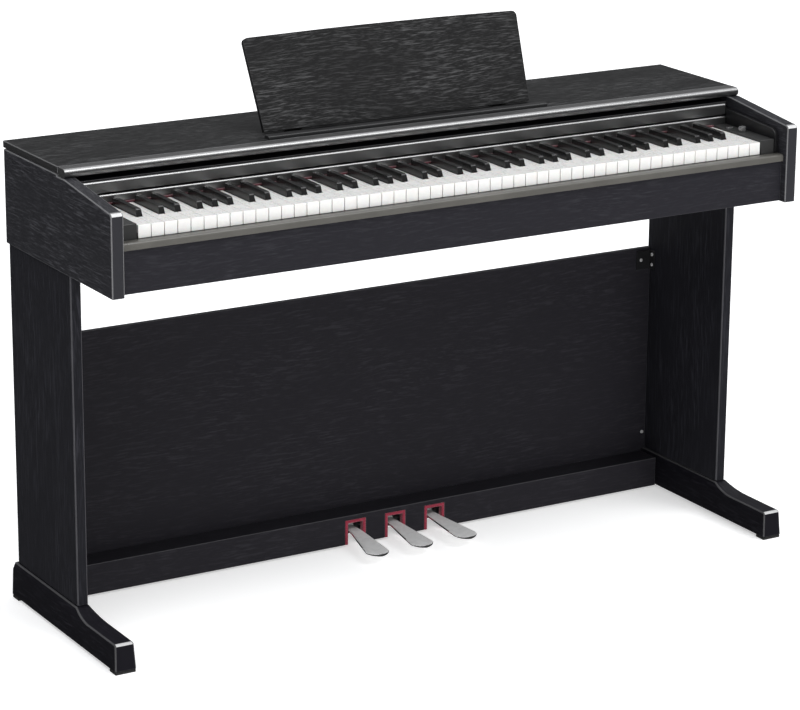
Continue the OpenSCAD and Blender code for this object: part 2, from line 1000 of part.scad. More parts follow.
top_board();
top_moulding();
side_panel_left();
side_panel_right();
cheeks();
key_bed();
front_rail();
key_slip();
end_block_left();
end_block_right();
fallboard();
key_felt();
rear_panel();
key_frame();
key_rod();
sound_board();
speakers();
speaker_grilles();
phones_box();
terminal_box();
key_cover();
cover_lip();
music_rest();
rest_props();
rest_hinges();
music_ledge();
power_button();
volume_knob();
white_keys_low();
black_keys_low();
white_keys_high();
black_keys_high();
key_c();
key_c_sharp();
key_d();
key_d_sharp();
key_e();
key_f();
key_f_sharp();
key_g();
key_g_sharp();
key_a();
key_a_sharp();
key_b();
leg_left();
leg_right();
foot_left();
foot_right();
foot_pads();
back_board();
brackets();
screws();
pedal_box();
pedal_bracket();
pedal_axle();
pedal_felts();
pedal_left();
pedal_middle();
pedal_right();
adjuster();
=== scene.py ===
"""Looks of a digital piano on its stand: meshes, finishes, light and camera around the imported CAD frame.

Every length is in metres in the CAD model's own frame. Pieces take their places from the frame's
nodes, so a change of the CAD model carries through to the looks.
"""
import json
import logging
import math
from abc import ABC, abstractmethod
from dataclasses import dataclass, field
from enum import Enum
from typing import Any, Callable, Iterable, Sequence

import bmesh
import bpy
from mathutils import Matrix, Vector

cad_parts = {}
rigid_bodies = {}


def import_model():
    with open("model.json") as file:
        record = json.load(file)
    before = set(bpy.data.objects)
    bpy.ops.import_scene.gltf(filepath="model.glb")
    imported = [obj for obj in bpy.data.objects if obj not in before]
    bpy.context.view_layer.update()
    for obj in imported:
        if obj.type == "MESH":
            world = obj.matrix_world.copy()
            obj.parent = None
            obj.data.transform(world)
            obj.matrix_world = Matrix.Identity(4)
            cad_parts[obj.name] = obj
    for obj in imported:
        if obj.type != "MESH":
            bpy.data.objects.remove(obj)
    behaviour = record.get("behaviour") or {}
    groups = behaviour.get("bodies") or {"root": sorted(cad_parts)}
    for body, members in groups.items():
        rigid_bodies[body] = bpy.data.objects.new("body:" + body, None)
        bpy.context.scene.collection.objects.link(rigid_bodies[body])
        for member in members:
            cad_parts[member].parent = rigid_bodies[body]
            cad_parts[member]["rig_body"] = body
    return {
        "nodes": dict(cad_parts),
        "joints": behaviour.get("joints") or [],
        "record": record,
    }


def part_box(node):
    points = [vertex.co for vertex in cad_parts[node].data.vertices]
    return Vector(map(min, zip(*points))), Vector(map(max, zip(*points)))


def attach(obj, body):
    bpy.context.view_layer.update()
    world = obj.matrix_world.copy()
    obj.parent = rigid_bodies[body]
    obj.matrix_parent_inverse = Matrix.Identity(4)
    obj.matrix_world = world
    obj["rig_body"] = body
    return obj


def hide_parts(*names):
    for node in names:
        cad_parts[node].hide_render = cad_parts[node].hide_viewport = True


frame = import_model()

LOG = logging.getLogger("piano")
MM = 0.001
RGB = tuple[float, float, float]
Point2 = tuple[float, float]


class Axis(Enum):
    """A direction of the piano, as the Euler turn that brings it onto X."""

    X = (0.0, 0.0, 0.0)
    Y = (0.0, 0.0, -math.pi / 2)
    Z = (0.0, math.pi / 2, 0.0)


class Slot(Enum):
    """The material slots of the CAD record."""

    PANEL = "panel"
    BOARD = "board"
    BED = "bed"
    RAIL = "rail"
    TRIM = "gloss_trim"
    COVER = "cover"
    SLIP = "slip"
    CHEEK = "cheek"
    END_BLOCK = "end_block"
    CONTROL = "control"
    WHITE_KEY = "white_key"
    BLACK_KEY = "black_key"
    KEY_FELT = "key_felt"
    PEDAL_FELT = "pedal_felt"
    STEEL = "steel"
    CIRCUIT = "circuit"
    SPEAKER = "speaker"
    GRILLE = "grille"
    SOCKET_BOX = "socket_box"
    BRACKET = "bracket"
    SCREW = "screw"
    PEDAL = "pedal"
    PAD = "pad"


# ---------------------------------------------------------------- node trees


class Signal:
    """An output socket of a node tree that takes part in Python arithmetic."""

    def __init__(self, wiring: "Wiring", socket: bpy.types.NodeSocket) -> None:
        """Wraps a socket.

        Args:
            wiring: The tree that the socket belongs to.
            socket: The output socket.
        """
        self.wiring = wiring
        self.socket = socket

    def maths(self, operation: str, *terms: "Signal | float") -> "Signal":
        """Adds a Math node.

        Args:
            operation: The node's operation.
            terms: Its inputs in order.

        Returns:
            The node's value.
        """
        return self.wiring.node("ShaderNodeMath", {"operation": operation}, dict(enumerate(terms)))

    def __add__(self, other: "Signal | float") -> "Signal":
        """Sum with a signal or a number."""
        return self.maths("ADD", self, other)

    def __radd__(self, other: float) -> "Signal":
        """Sum with a number on the left."""
        return self.maths("ADD", other, self)

    def __sub__(self, other: "Signal | float") -> "Signal":
        """Difference from a signal or a number."""
        return self.maths("SUBTRACT", self, other)

    def __rsub__(self, other: float) -> "Signal":
        """Difference with a number on the left."""
        return self.maths("SUBTRACT", other, self)

    def __mul__(self, other: "Signal | float") -> "Signal":
        """Product with a signal or a number."""
        return self.maths("MULTIPLY", self, other)

    def __rmul__(self, other: float) -> "Signal":
        """Product with a number on the left."""
        return self.maths("MULTIPLY", other, self)

    def between(self, low: float, high: float) -> "Signal":
        """Smooth step of the signal.

        Args:
            low: Where the step starts, at 0.
            high: Where it ends, at 1.

        Returns:
            The step, from 0 to 1.
        """
        return self.wiring.node(
            "ShaderNodeMapRange", {"interpolation_type": "SMOOTHSTEP"},
            {"Value": self, "From Min": low, "From Max": high})


class Wiring:
    """A node tree under construction, with one way to add any node."""

    def __init__(self, tree: bpy.types.NodeTree) -> None:
        """Starts on an empty tree.

        Args:
            tree: The tree, which loses the nodes that it has.
        """
        self.tree = tree
        tree.nodes.clear()

    @staticmethod
    def _find(sockets: Any, key: str | int) -> bpy.types.NodeSocket:
        """The socket with an index, an identifier or a name."""
        if isinstance(key, int):
            return sockets[key]
        return next(s for s in sockets if s.enabled and key in (s.identifier, s.name))

    def node(self, kind: str, settings: dict[str, Any] | None = None,
             inputs: dict[str | int, Any] | None = None, output: str | int = 0) -> Signal:
        """Adds a node.

        Args:
            kind: The node's type.
            settings: Its properties, set first.
            inputs: Values, signals or lists of signals for its sockets.
            output: The output to hand on.

        Returns:
            The chosen output.
        """
        made = self.tree.nodes.new(kind)
        for key, value in (settings or {}).items():
            setattr(made, key, value)
        for key, value in (inputs or {}).items():
            socket = self._find(made.inputs, key)
            if isinstance(value, Signal):
                self.tree.links.new(value.socket, socket)
            elif isinstance(value, list):
                for part in value:
                    self.tree.links.new(part.socket, socket)
            else:
                socket.default_value = value
        outputs = made.outputs
        return Signal(self, self._find(outputs, output)) if len(outputs) else Signal(self, None)


class Graph(Wiring):
    """The shader of one material."""

    def __init__(self, name: str) -> None:
        """Makes the material that the shader belongs to.

        Args:
            name: The material's name.
        """
        self.material = bpy.data.materials.new(name)
        self.material.use_nodes = True
        super().__init__(self.material.node_tree)

    def along(self, axis: Axis, stretch: RGB = (1.0, 1.0, 1.0), shift: RGB = (0.0, 0.0, 0.0)) -> Signal:
        """Object coordinates turned so that X runs along a direction, then stretched.

        Args:
            axis: The direction that X takes.
            stretch: The factor along each turned axis.
            shift: What is added at the end, which picks another part of a pattern.

        Returns:
            The coordinates.
        """
        turned = self.node("ShaderNodeMapping", {"vector_type": "POINT"}, {
            "Vector": self.node("ShaderNodeTexCoord", output="Object"), "Rotation": axis.value})
        return self.node("ShaderNodeVectorMath", {"operation": "MULTIPLY_ADD"},
                         {0: turned, 1: stretch, 2: shift})

    def noise(self, where: Signal, scale: float = 1.0, detail: float = 2.0,
              distortion: float = 0.0) -> Signal:
        """Smooth noise.

        Args:
            where: The coordinates.
            scale: Cells per metre of the coordinates.
            detail: How many finer layers are added.
            distortion: How far the noise bends itself.

        Returns:
            The noise, from 0 to 1 around a half.
        """
        return self.node("ShaderNodeTexNoise", None, {
            "Vector": where, "Scale": scale, "Detail": detail, "Distortion": distortion})

    def blend(self, amount: Signal | float, first: Signal | RGB, second: Signal | RGB) -> Signal:
        """A mix of two colours.

        Args:
            amount: The share of the second colour.
            first: The first colour.
            second: The second colour.

        Returns:
            The mixed colour.
        """
        pair = [c if isinstance(c, Signal) else (*c, 1.0) for c in (first, second)]
        return self.node("ShaderNodeMix", {"data_type": "RGBA"}, {
            "Factor_Float": amount, "A_Color": pair[0], "B_Color": pair[1]}, "Result_Color")

    def edges(self) -> Signal:
        """How strongly a face takes the edge colour: up to 1 on the faces that round an edge, and 0
        elsewhere; the wood and moulded finishes paint a highlight with it.
        """
        mark = self.node("ShaderNodeAttribute", {"attribute_name": "edge"}, output="Fac")
        return mark.maths("MAXIMUM", mark, 0.0)

    def ends(self) -> Signal:
        """One on the faces that cut across the grain, and 0 elsewhere."""
        mark = self.node("ShaderNodeAttribute", {"attribute_name": "edge"}, output="Fac")
        return mark.maths("LESS_THAN", mark, -0.5)

    def close(self, colour: Signal | RGB, roughness: Signal | float, height: Signal | None = None,
              depth: float = 0.1 * MM, metallic: Signal | float = 0.0,
              **constants: float) -> bpy.types.Material:
        """Ends the shader in a surface.

        Args:
            colour: The base colour.
            roughness: The roughness.
            height: A relief from 0 to 1, or none.
            depth: The depth of the relief.
            metallic: The share of metal.
            constants: Values for the surface's other sockets, by name with _ for a space.

        Returns:
            The finished material.
        """
        sockets: dict[str | int, Any] = {key.replace("_", " "): value for key, value in constants.items()}
        sockets["Base Color"] = colour if isinstance(colour, Signal) else (*colour, 1.0)
        sockets["Roughness"] = roughness
        sockets["Metallic"] = metallic
        if height is not None:
            sockets["Normal"] = self.node("ShaderNodeBump", None, {"Height": height, "Distance": depth})
        shader = self.node("ShaderNodeBsdfPrincipled", None, sockets)
        self.node("ShaderNodeOutputMaterial", None, {"Surface": shader})
        return self.material


# ---------------------------------------------------------------- finishes


@dataclass(frozen=True)
class Finish(ABC):
    """What a surface is made of. One finish makes one material."""

    name: str

    def material(self) -> bpy.types.Material:
        """The finish's material, made the first time that it is asked for."""
        return bpy.data.materials.get(self.name) or self.paint(Graph(self.name))

    @abstractmethod
    def paint(self, graph: Graph) -> bpy.types.Material:
        """Builds the shader.

        Args:
            graph: An empty shader.

        Returns:
            The finished material.
        """


@dataclass(frozen=True)
class Woodgrain(Finish):
    """Black foil with an embossed open grain: short pale pores that follow wavy rings."""

    grain: Axis = Axis.X
    dark: RGB = (0.0085, 0.0085, 0.0095)
    pale: RGB = (0.085, 0.085, 0.088)
    edge_highlight: RGB = (0.36, 0.36, 0.365)
    pore_width: float = 3.6 * MM
    pore_length: float = 36 * MM
    bend: float = 13.0
    relief: float = 0.16 * MM
    roughness: float = 0.5
    specular: float = 0.16
    shift: RGB = (0.0, 0.0, 0.0)

    def paint(self, graph: Graph) -> bpy.types.Material:
        """See Finish."""
        across = 1 / self.pore_width
        heart = graph.noise(graph.along(self.grain, (2.2, 5.0, 5.0), self.shift), 1.0, 1.0, 0.2)
        straight = graph.along(self.grain, (1 / self.pore_length, across, across), self.shift)
        bent = graph.node("ShaderNodeVectorMath", {"operation": "MULTIPLY_ADD"},
                          {0: heart, 1: (0.0, self.bend, self.bend), 2: straight})
        pores = graph.noise(bent, 1.0, 1.0).between(0.50, 0.72)
        hairs = graph.noise(bent, 2.7, 1.0).between(0.52, 0.74)
        clouds = graph.noise(graph.along(self.grain, (5.0, 16.0, 16.0)), 1.0, 3.0)
        tone = (pores * 0.62 + hairs * 0.46) * (clouds.between(0.3, 0.68) * 0.65 + 0.35)
        tone = tone * (1.0 - graph.ends()) + graph.ends() * 0.14
        edges = graph.edges()
        colour = graph.blend(tone, self.dark, self.pale)
        # Painted highlight: rounded edges are lightened towards the edge highlight colour.
        colour = graph.blend(edges * 0.8, colour, self.edge_highlight)
        rough = self.roughness + (clouds - 0.5) * 0.1 - edges * 0.2
        return graph.close(colour, rough, tone, self.relief, Specular_IOR_Level=self.specular)


@dataclass(frozen=True)
class Moulded(Finish):
    """Painted, lacquered or moulded surface with a faint skin texture and lighter rounded edges: rub marks
    mixed with a painted highlight.
    """

    colour: RGB = (0.02, 0.02, 0.022)
    edge_wear_and_highlight: RGB = (0.06, 0.06, 0.065)
    roughness: float = 0.3
    skin: float = 0.02 * MM
    skin_scale: float = 900.0
    edge_share: float = 0.2
    specular: float = 0.5
    coat: float = 0.0
    coat_ior: float = 1.5
    coat_roughness: float = 0.08

    def paint(self, graph: Graph) -> bpy.types.Material:
        """See Finish."""
        where = graph.along(Axis.X)
        clouds = graph.noise(where, 14.0, 3.0)
        skin = graph.noise(where, self.skin_scale, 1.0)
        rubs = graph.noise(where, 260.0, 4.0, 0.6).between(0.5, 0.74)
        edges = graph.edges()
        deep = tuple(0.82 * c for c in self.colour)
        colour = graph.blend(clouds.between(0.3, 0.75), deep, self.colour)
        # Rounded edges take a lighter colour: rub marks mixed with a painted highlight.
        colour = graph.blend(edges * (self.edge_share + rubs * 0.25), colour, self.edge_wear_and_highlight)
        rough = self.roughness + (clouds - 0.5) * 0.05 + rubs * 0.03
        return graph.close(
            colour, rough, skin, self.skin, Specular_IOR_Level=self.specular, Coat_Weight=self.coat,
            Coat_IOR=self.coat_ior, Coat_Roughness=self.coat_roughness)


@dataclass(frozen=True)
class KeyPlastic(Finish):
    """Ivory-white key tops: each key a shade of its own, with a faint texture and cloudy roughness."""

    light: RGB = (0.82, 0.815, 0.80)
    warm: RGB = (0.77, 0.76, 0.73)
    roughness: float = 0.22

    def paint(self, graph: Graph) -> bpy.types.Material:
        """See Finish."""
        where = graph.along(Axis.X)
        shade = graph.node("ShaderNodeNewGeometry", output="Random Per Island")
        clouds = graph.noise(where, 40.0, 2.0)
        texture = graph.noise(graph.along(Axis.Y, (180.0, 1400.0, 1400.0)), 1.0, 1.0)
        colour = graph.blend(shade * 0.35 + clouds * 0.25, self.light, self.warm)
        rough = self.roughness + texture * 0.1 + clouds.between(0.4, 0.7) * 0.06
        return graph.close(colour, rough, texture, 0.012 * MM, Subsurface_Weight=0.06,
                           Subsurface_Scale=3 * MM, Coat_Weight=0.15, Coat_Roughness=0.12)


@dataclass(frozen=True)
class Felt(Finish):
    """Pressed wool: cloudy colour, fuzzy relief and a soft sheen."""

    colour: RGB = (0.22, 0.012, 0.028)
    deep: RGB = (0.085, 0.004, 0.012)

    def paint(self, graph: Graph) -> bpy.types.Material:
        """See Finish."""
        where = graph.along(Axis.X)
        fibres = graph.noise(where, 1500.0, 4.0, 1.2)
        clouds = graph.noise(where, 160.0, 3.0)
        colour = graph.blend(fibres * 0.6 + clouds * 0.4, self.deep, self.colour)
        return graph.close(colour, 0.96, fibres + clouds * 0.5, 0.5 * MM, Sheen_Weight=0.55,
                           Sheen_Roughness=0.5, Specular_IOR_Level=0.15)


@dataclass(frozen=True)
class Metal(Finish):
    """Metal with a brushed or polished surface and faint handling marks."""

    colour: RGB = (0.62, 0.62, 0.61)
    grain: Axis = Axis.X
    roughness: float = 0.28
    brushing: float = 0.02 * MM
    shine: float = 1.0
    rim_polish: float = 0.0

    def paint(self, graph: Graph) -> bpy.types.Material:
        """See Finish."""
        lines = graph.noise(graph.along(self.grain, (30.0, 2400.0, 2400.0)), 1.0, 2.0)
        marks = graph.noise(graph.along(Axis.X), 55.0, 5.0, 0.8).between(0.35, 0.75)
        deep = tuple(0.78 * c for c in self.colour)
        colour = graph.blend(marks * 0.5 + lines * 0.3, self.colour, deep)
        edges = graph.edges()
        rough = self.roughness + (lines - 0.5) * 0.12 + marks * 0.08 - edges * self.rim_polish
        return graph.close(colour, rough, lines, self.brushing, edges * (1.0 - self.shine) + self.shine)


@dataclass(frozen=True)
class Circuit(Finish):
    """Green solder mask over straight copper tracks."""

    mask: RGB = (0.012, 0.085, 0.034)
    track: RGB = (0.03, 0.17, 0.07)
    pitch: float = 3.2 * MM

    def paint(self, graph: Graph) -> bpy.types.Material:
        """See Finish."""
        rows = graph.node("ShaderNodeTexBrick", {"offset": 0.37}, {
            "Vector": graph.along(Axis.X), "Scale": 1 / (4 * self.pitch), "Mortar Size": 0.05,
            "Mortar Smooth": 0.1, "Bias": 0.0}, "Fac")
        dust = graph.noise(graph.along(Axis.X), 300.0, 3.0)
        colour = graph.blend(rows, self.mask, self.track)
        return graph.close(colour, 0.32 + dust * 0.15, rows, 0.04 * MM, Coat_Weight=0.3)


@dataclass(frozen=True)
class Backdrop(Finish):
    """Pale seamless floor that glows a little, as if lit through."""

    colour: RGB = (0.86, 0.86, 0.86)
    glow: float = 0.45

    def paint(self, graph: Graph) -> bpy.types.Material:
        """See Finish."""
        clouds = graph.noise(graph.along(Axis.X), 0.6, 2.0)
        colour = graph.blend(clouds * 0.2, self.colour, tuple(0.96 * c for c in self.colour))
        return graph.close(colour, 0.85, None, Specular_IOR_Level=0.1, Emission_Strength=self.glow)


# The edge colours of the wood finishes below paint a highlight on the rounded edges; those of the moulded
# finishes mix rub marks with a painted highlight.
GRAIN_X = Woodgrain("black_grain_across", Axis.X, dark=(0.0115, 0.0115, 0.0118), pale=(0.100, 0.100, 0.102),
                    pore_width=2.3 * MM, pore_length=30 * MM)
GRAIN_Y = Woodgrain("black_grain_deep", Axis.Y, dark=(0.020, 0.020, 0.0235), pale=(0.078, 0.078, 0.088),
                    edge_highlight=(0.80, 0.80, 0.80), pore_width=2.3 * MM, bend=9.0, shift=(3.1, 0.7, 1.9))
FOOT_GRAIN = Woodgrain("black_grain_foot", Axis.Y, dark=(0.0070, 0.0065, 0.0095),
                       pale=(0.020, 0.019, 0.025), edge_highlight=(0.62, 0.62, 0.62), shift=(2.0, 0.7, 1.9))
BOARD_GRAIN = Woodgrain("black_grain_board", Axis.X, dark=(0.0175, 0.0165, 0.0205),
                        pale=(0.032, 0.031, 0.037), edge_highlight=(0.12, 0.12, 0.125), relief=0.06 * MM,
                        shift=(0.0, 4.0, 2.0))
RAIL_GRAIN = Woodgrain("black_grain_rail", Axis.X, dark=(0.0185, 0.018, 0.0225), pale=(0.034, 0.034, 0.040),
                       relief=0.06 * MM, roughness=0.46, shift=(5.0, 1.0, 0.0))
LEG_GRAIN = Woodgrain("black_grain_leg", Axis.Z, dark=(0.0135, 0.0135, 0.0170), pale=(0.036, 0.036, 0.045),
                      edge_highlight=(0.16, 0.16, 0.17), pore_length=70 * MM, shift=(1.3, 2.2, 0.4))
BED_BOARD = Moulded("black_fibreboard", (0.017, 0.017, 0.018), (0.05, 0.045, 0.04), 0.7, 0.08 * MM, 420.0)
TRIM = Moulded("satin_black_trim", (0.016, 0.016, 0.0165), (0.08, 0.08, 0.08), 0.42, 0.006 * MM, 500.0, 0.4,
               1.0, coat=1.0, coat_ior=3.0, coat_roughness=0.32)
LEDGE_FINISH = Moulded("black_ledge", (0.022, 0.022, 0.023), (0.07, 0.07, 0.07), 0.42, 0.01 * MM, 500.0)
COVER_FINISH = Woodgrain("black_grain_cover", Axis.X, dark=(0.012, 0.012, 0.014), pale=(0.032, 0.032, 0.036),
                         relief=0.10 * MM, roughness=0.32)
SLIP_FINISH = Moulded("satin_grey_slip", (0.105, 0.101, 0.091), (0.30, 0.29, 0.27), 0.34, 0.02 * MM)
CHEEK_FINISH = Moulded("satin_black_cheek", (0.010, 0.010, 0.011), (0.05, 0.05, 0.05), 0.36, 0.02 * MM)
BLOCK_FINISH = Moulded("satin_grey_block", (0.040, 0.040, 0.040), (0.10, 0.10, 0.10), 0.33, 0.02 * MM)
CONTROL_FINISH = Moulded("grey_control", (0.12, 0.12, 0.122), (0.28, 0.28, 0.28), 0.26, 0.01 * MM, coat=1.0,
                         coat_ior=2.2, coat_roughness=0.15)
MARK_FINISH = Moulded("white_mark", (0.75, 0.75, 0.74), (0.8, 0.8, 0.8), 0.5)
WHITE_KEY = KeyPlastic("ivory_key")
# The black keys' light edge colour paints highlight spots on their noses.
BLACK_KEY = Moulded("black_key", (0.0025, 0.0025, 0.0028), (0.60, 0.60, 0.58), 0.25, 0.006 * MM, 1200.0, 0.6,
                    0.3, coat=1.0, coat_ior=1.6, coat_roughness=0.08)
RED_FELT = Felt("red_felt", (0.36, 0.022, 0.055), (0.15, 0.008, 0.022))
DARK_FELT = Felt("dark_red_felt", (0.135, 0.008, 0.020), (0.050, 0.003, 0.008))
STEEL = Metal("zinc_steel", (0.46, 0.465, 0.47), Axis.X, 0.36)
SCREW_STEEL = Metal("screw_steel", (0.70, 0.70, 0.70), Axis.Z, 0.3, shine=0.4)
PEDAL_METAL = Metal("pedal_nickel", (0.88, 0.88, 0.875), Axis.Y, 0.42, 0.006 * MM, 0.15, 0.28)
CIRCUIT = Circuit("solder_mask")
PAPER = Moulded("black_paper_cone", (0.016, 0.016, 0.016), (0.03, 0.03, 0.03), 0.85, 0.15 * MM, 700.0)
BUTYL = Moulded("black_surround", (0.010, 0.010, 0.010), (0.02, 0.02, 0.02), 0.55, 0.02 * MM)
FERRITE = Moulded("grey_ferrite", (0.05, 0.05, 0.052), (0.1, 0.1, 0.1), 0.6, 0.05 * MM)
POWDER = Moulded("black_powder_coat", (0.014, 0.014, 0.015), (0.05, 0.05, 0.05), 0.42, 0.06 * MM, 1100.0)
CASE_PLASTIC = Moulded("black_case", (0.018, 0.018, 0.019), (0.04, 0.04, 0.04), 0.48, 0.05 * MM, 1400.0)
RUBBER = Moulded("black_rubber", (0.020, 0.020, 0.020), (0.035, 0.035, 0.035), 0.8, 0.08 * MM, 800.0)


# ---------------------------------------------------------------- meshes


def arc(centre: Point2, radius: float, start: float, end: float, steps: int) -> list[Point2]:
    """Points along an arc.

    Args:
        centre: The arc's centre.
        radius: Its radius.
        start: The first angle in degrees.
        end: The last angle in degrees.
        steps: How many equal steps lie between them.

    Returns:
        The points, both ends included.
    """
    angles = [math.radians(start + (end - start) * i / steps) for i in range(steps + 1)]
    return [(centre[0] + radius * math.cos(a), centre[1] + radius * math.sin(a)) for a in angles]


@dataclass(frozen=True)
class Box:
    """An upright box in the piano's frame."""

    low: Vector
    high: Vector

    @classmethod
    def of(cls, node: str) -> "Box":
        """The box of a CAD node."""
        return cls(*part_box(node))

    @property
    def centre(self) -> Vector:
        """The middle of the box."""
        return (self.low + self.high) / 2

    @property
    def size(self) -> Vector:
        """The box's three sizes."""
        return self.high - self.low


class Form:
    """A mesh in the making."""

    def __init__(self) -> None:
        """Starts with nothing in it."""
        self.bm = bmesh.new()
        self.mark = self.bm.faces.layers.float.new("edge")

    @classmethod
    def of_node(cls, node: str, keep: Callable[[Vector], bool] | None = None) -> "Form":
        """A clean copy of a CAD node's mesh, with its flat faces whole.

        Args:
            node: The node's name.
            keep: Tells from its middle whether a separate solid of the node is wanted.

        Returns:
            The copy.
        """
        form = cls()
        form.bm.free()
        form.bm = bmesh.new()
        form.bm.from_mesh(frame["nodes"][node].data)
        form.mark = form.bm.faces.layers.float.new("edge")
        bmesh.ops.remove_doubles(form.bm, verts=form.bm.verts, dist=2e-6)
        bmesh.ops.dissolve_limit(form.bm, angle_limit=math.radians(0.4), verts=form.bm.verts,
                                 edges=form.bm.edges)
        if keep:
            for part in form.islands():
                box = form.box_of(part)
                if not keep(box.centre):
                    bmesh.ops.delete(form.bm, geom=part, context="VERTS")
        return form

    @staticmethod
    def box_of(verts: Sequence[bmesh.types.BMVert]) -> Box:
        """The box around some vertices."""
        low = Vector(min(v.co[i] for v in verts) for i in range(3))
        high = Vector(max(v.co[i] for v in verts) for i in range(3))
        return Box(low, high)

    def islands(self) -> list[list[bmesh.types.BMVert]]:
        """The vertices of each separate solid."""
        left = set(self.bm.verts)
        found = []
        for start in list(self.bm.verts):
            if start not in left:
                continue
            left.discard(start)
            part, queue = [start], [start]
            while queue:
                for edge in queue.pop().link_edges:
                    for vert in edge.verts:
                        if vert in left:
                            left.discard(vert)
                            part.append(vert)
                            queue.append(vert)
            found.append(part)
        return found

    @classmethod
    def extruded(cls, outline: Sequence[Point2], axis: Axis, low: float, high: float) -> "Form":
        """A solid with one outline all along an axis.

        Args:
            outline: Points (y, z) along X, (x, z) along Y or (x, y) along Z.
            axis: The axis.
            low: Where the solid starts on it.
            high: Where it ends.

        Returns:
            The solid.
        """
        form = cls()
        spots = {Axis.X: lambda a, b, c: (c, a, b), Axis.Y: lambda a, b, c: (a, c, b),
                 Axis.Z: lambda a, b, c: (a, b, c)}[axis]
        ends = [[form.bm.verts.new(spots(a, b, c)) for a, b in outline] for c in (low, high)]
        form.bm.faces.new(ends[0])
        form.bm.faces.new(ends[1])
        for i in range(len(outline)):
            j = (i + 1) % len(outline)
            form.bm.faces.new((ends[0][i], ends[0][j], ends[1][j], ends[1][i]))
        return form.outward()

    @classmethod
    def block(cls, low: Sequence[float], high: Sequence[float]) -> "Form":
        """A box between two corners."""
        outline = [(low[0], low[1]), (high[0], low[1]), (high[0], high[1]), (low[0], high[1])]
        return cls.extruded(outline, Axis.Z, low[2], high[2])

    @classmethod
    def lofted(cls, rings: Sequence[Sequence[Vector]]) -> "Form":
        """A closed skin over rings of equally many points, capped at both ends."""
        form = cls()
        rows = [[form.bm.verts.new(p) for p in ring] for ring in rings]
        count = len(rows[0])
        for a, b in zip(rows, rows[1:]):
            for i in range(count):
                form.bm.faces.new((a[i], a[(i + 1) % count], b[(i + 1) % count], b[i]))
        form.bm.faces.new(rows[0])
        form.bm.faces.new(rows[-1])
        return form.outward()

    @classmethod
    def turned(cls, profile: Sequence[Point2], foot: Vector, aim: Vector, steps: int = 40) -> "Form":
        """A closed outline turned round an axis.

        Args:
            profile: Points (radius, height) of a closed outline; a radius of 0 lies on the axis.
            foot: Where the axis starts.
            aim: The axis's direction.
            steps: How many sides the turned solid has.

        Returns:
            The solid.
        """
        form = cls()
        turn = aim.to_track_quat("Z", "Y").to_matrix().to_4x4()
        turn.translation = foot
        rings = []
        for k in range(steps):
            angle = 2 * math.pi * k / steps
            rings.append([form.bm.verts.new(turn @ Vector((r * math.cos(angle), r * math.sin(angle), h)))
                          for r, h in profile])
        count = len(profile)
        for k in range(steps):
            a, b = rings[k], rings[(k + 1) % steps]
            for i in range(count):
                form.bm.faces.new((a[i], a[(i + 1) % count], b[(i + 1) % count], b[i]))
        bmesh.ops.remove_doubles(form.bm, verts=form.bm.verts, dist=1e-6)
        bmesh.ops.dissolve_degenerate(form.bm, dist=1e-7, edges=form.bm.edges)
        return form.outward()

    def outward(self) -> "Form":
        """Turns the faces outwards."""
        bmesh.ops.recalc_face_normals(self.bm, faces=self.bm.faces)
        return self

    def soften(self, width: float, segments: int = 3, where: Callable[[Vector], bool] | None = None,
               clamp: bool = True, wear_and_highlight: float = 0.4) -> "Form":
        """Rounds the sharp edges.

        Args:
            width: The width of the rounding.
            segments: How many strips it has.
            where: Tells from an edge's middle whether it is rounded.
            clamp: Whether short edges hold the width back; an outline with fine arcs needs it off.
            wear_and_highlight: How strongly the rounding takes the lighter edge colour, a painted highlight,
                from 0 to 1; it is weaker where the edge looks down or back, as painted shade.

        Returns:
            The same form.
        """
        edges = [e for e in self.bm.edges
                 if len(e.link_faces) == 2 and e.calc_face_angle(0.0) > math.radians(35)
                 and (where is None or where((e.verts[0].co + e.verts[1].co) / 2))]
        made = bmesh.ops.bevel(self.bm, geom=edges, offset=width, offset_type="OFFSET", segments=segments,
                               profile=0.5, affect="EDGES", clamp_overlap=clamp, loop_slide=True)
        self.bm.normal_update()
        for face in made["faces"]:
            # Painted shade: roundings that look down or back get a quarter of the painted highlight.
            face[self.mark] = wear_and_highlight * (0.25 if face.normal.z < -0.15 or face.normal.y > 0.5 else 1.0)
        return self

    def polish_and_highlight(self, where: Callable[[Vector, Vector], bool]) -> "Form":
        """Marks faces like rounded edges: the wood and moulded finishes paint a highlight on them, the metal
        finish makes them more metallic and smoother.

        Args:
            where: Tells from a face's middle and normal whether it is one.

        Returns:
            The same form.
        """
        self.bm.normal_update()
        for face in self.bm.faces:
            if where(face.calc_center_median(), face.normal):
                face[self.mark] = 1.0
        return self

    def cut(self, grain: Axis) -> "Form":
        """Marks the flat faces that cut across the grain.

        Args:
            grain: The direction of the grain.

        Returns:
            The same form.
        """
        along = list(Axis).index(grain)
        self.bm.normal_update()
        for face in self.bm.faces:
            if abs(face.normal[along]) > 0.95:
                face[self.mark] = -1.0
        return self

    def add(self, *others: "Form") -> "Form":
        """Takes other forms into this one."""
        for other in others:
            mesh = bpy.data.meshes.new("part")
            other.bm.to_mesh(mesh)
            other.bm.free()
            self.bm.from_mesh(mesh)
            bpy.data.meshes.remove(mesh)
        self.mark = self.bm.faces.layers.float["edge"]
        return self

    def mesh(self, name: str) -> bpy.types.Mesh:
        """Hands the form over as a mesh and ends it."""
        mesh = bpy.data.meshes.new(name)
        self.bm.to_mesh(mesh)
        self.bm.free()
        return mesh


def plain_copy(obj: bpy.types.Object) -> None:
    """Turns an object's modifiers into plain mesh and removes them."""
    bpy.context.view_layer.update()
    solid = bpy.data.meshes.new_from_object(obj.evaluated_get(bpy.context.evaluated_depsgraph_get()))
    obj.modifiers.clear()
    old, obj.data = obj.data, solid
    solid.name = obj.name
    bpy.data.meshes.remove(old)


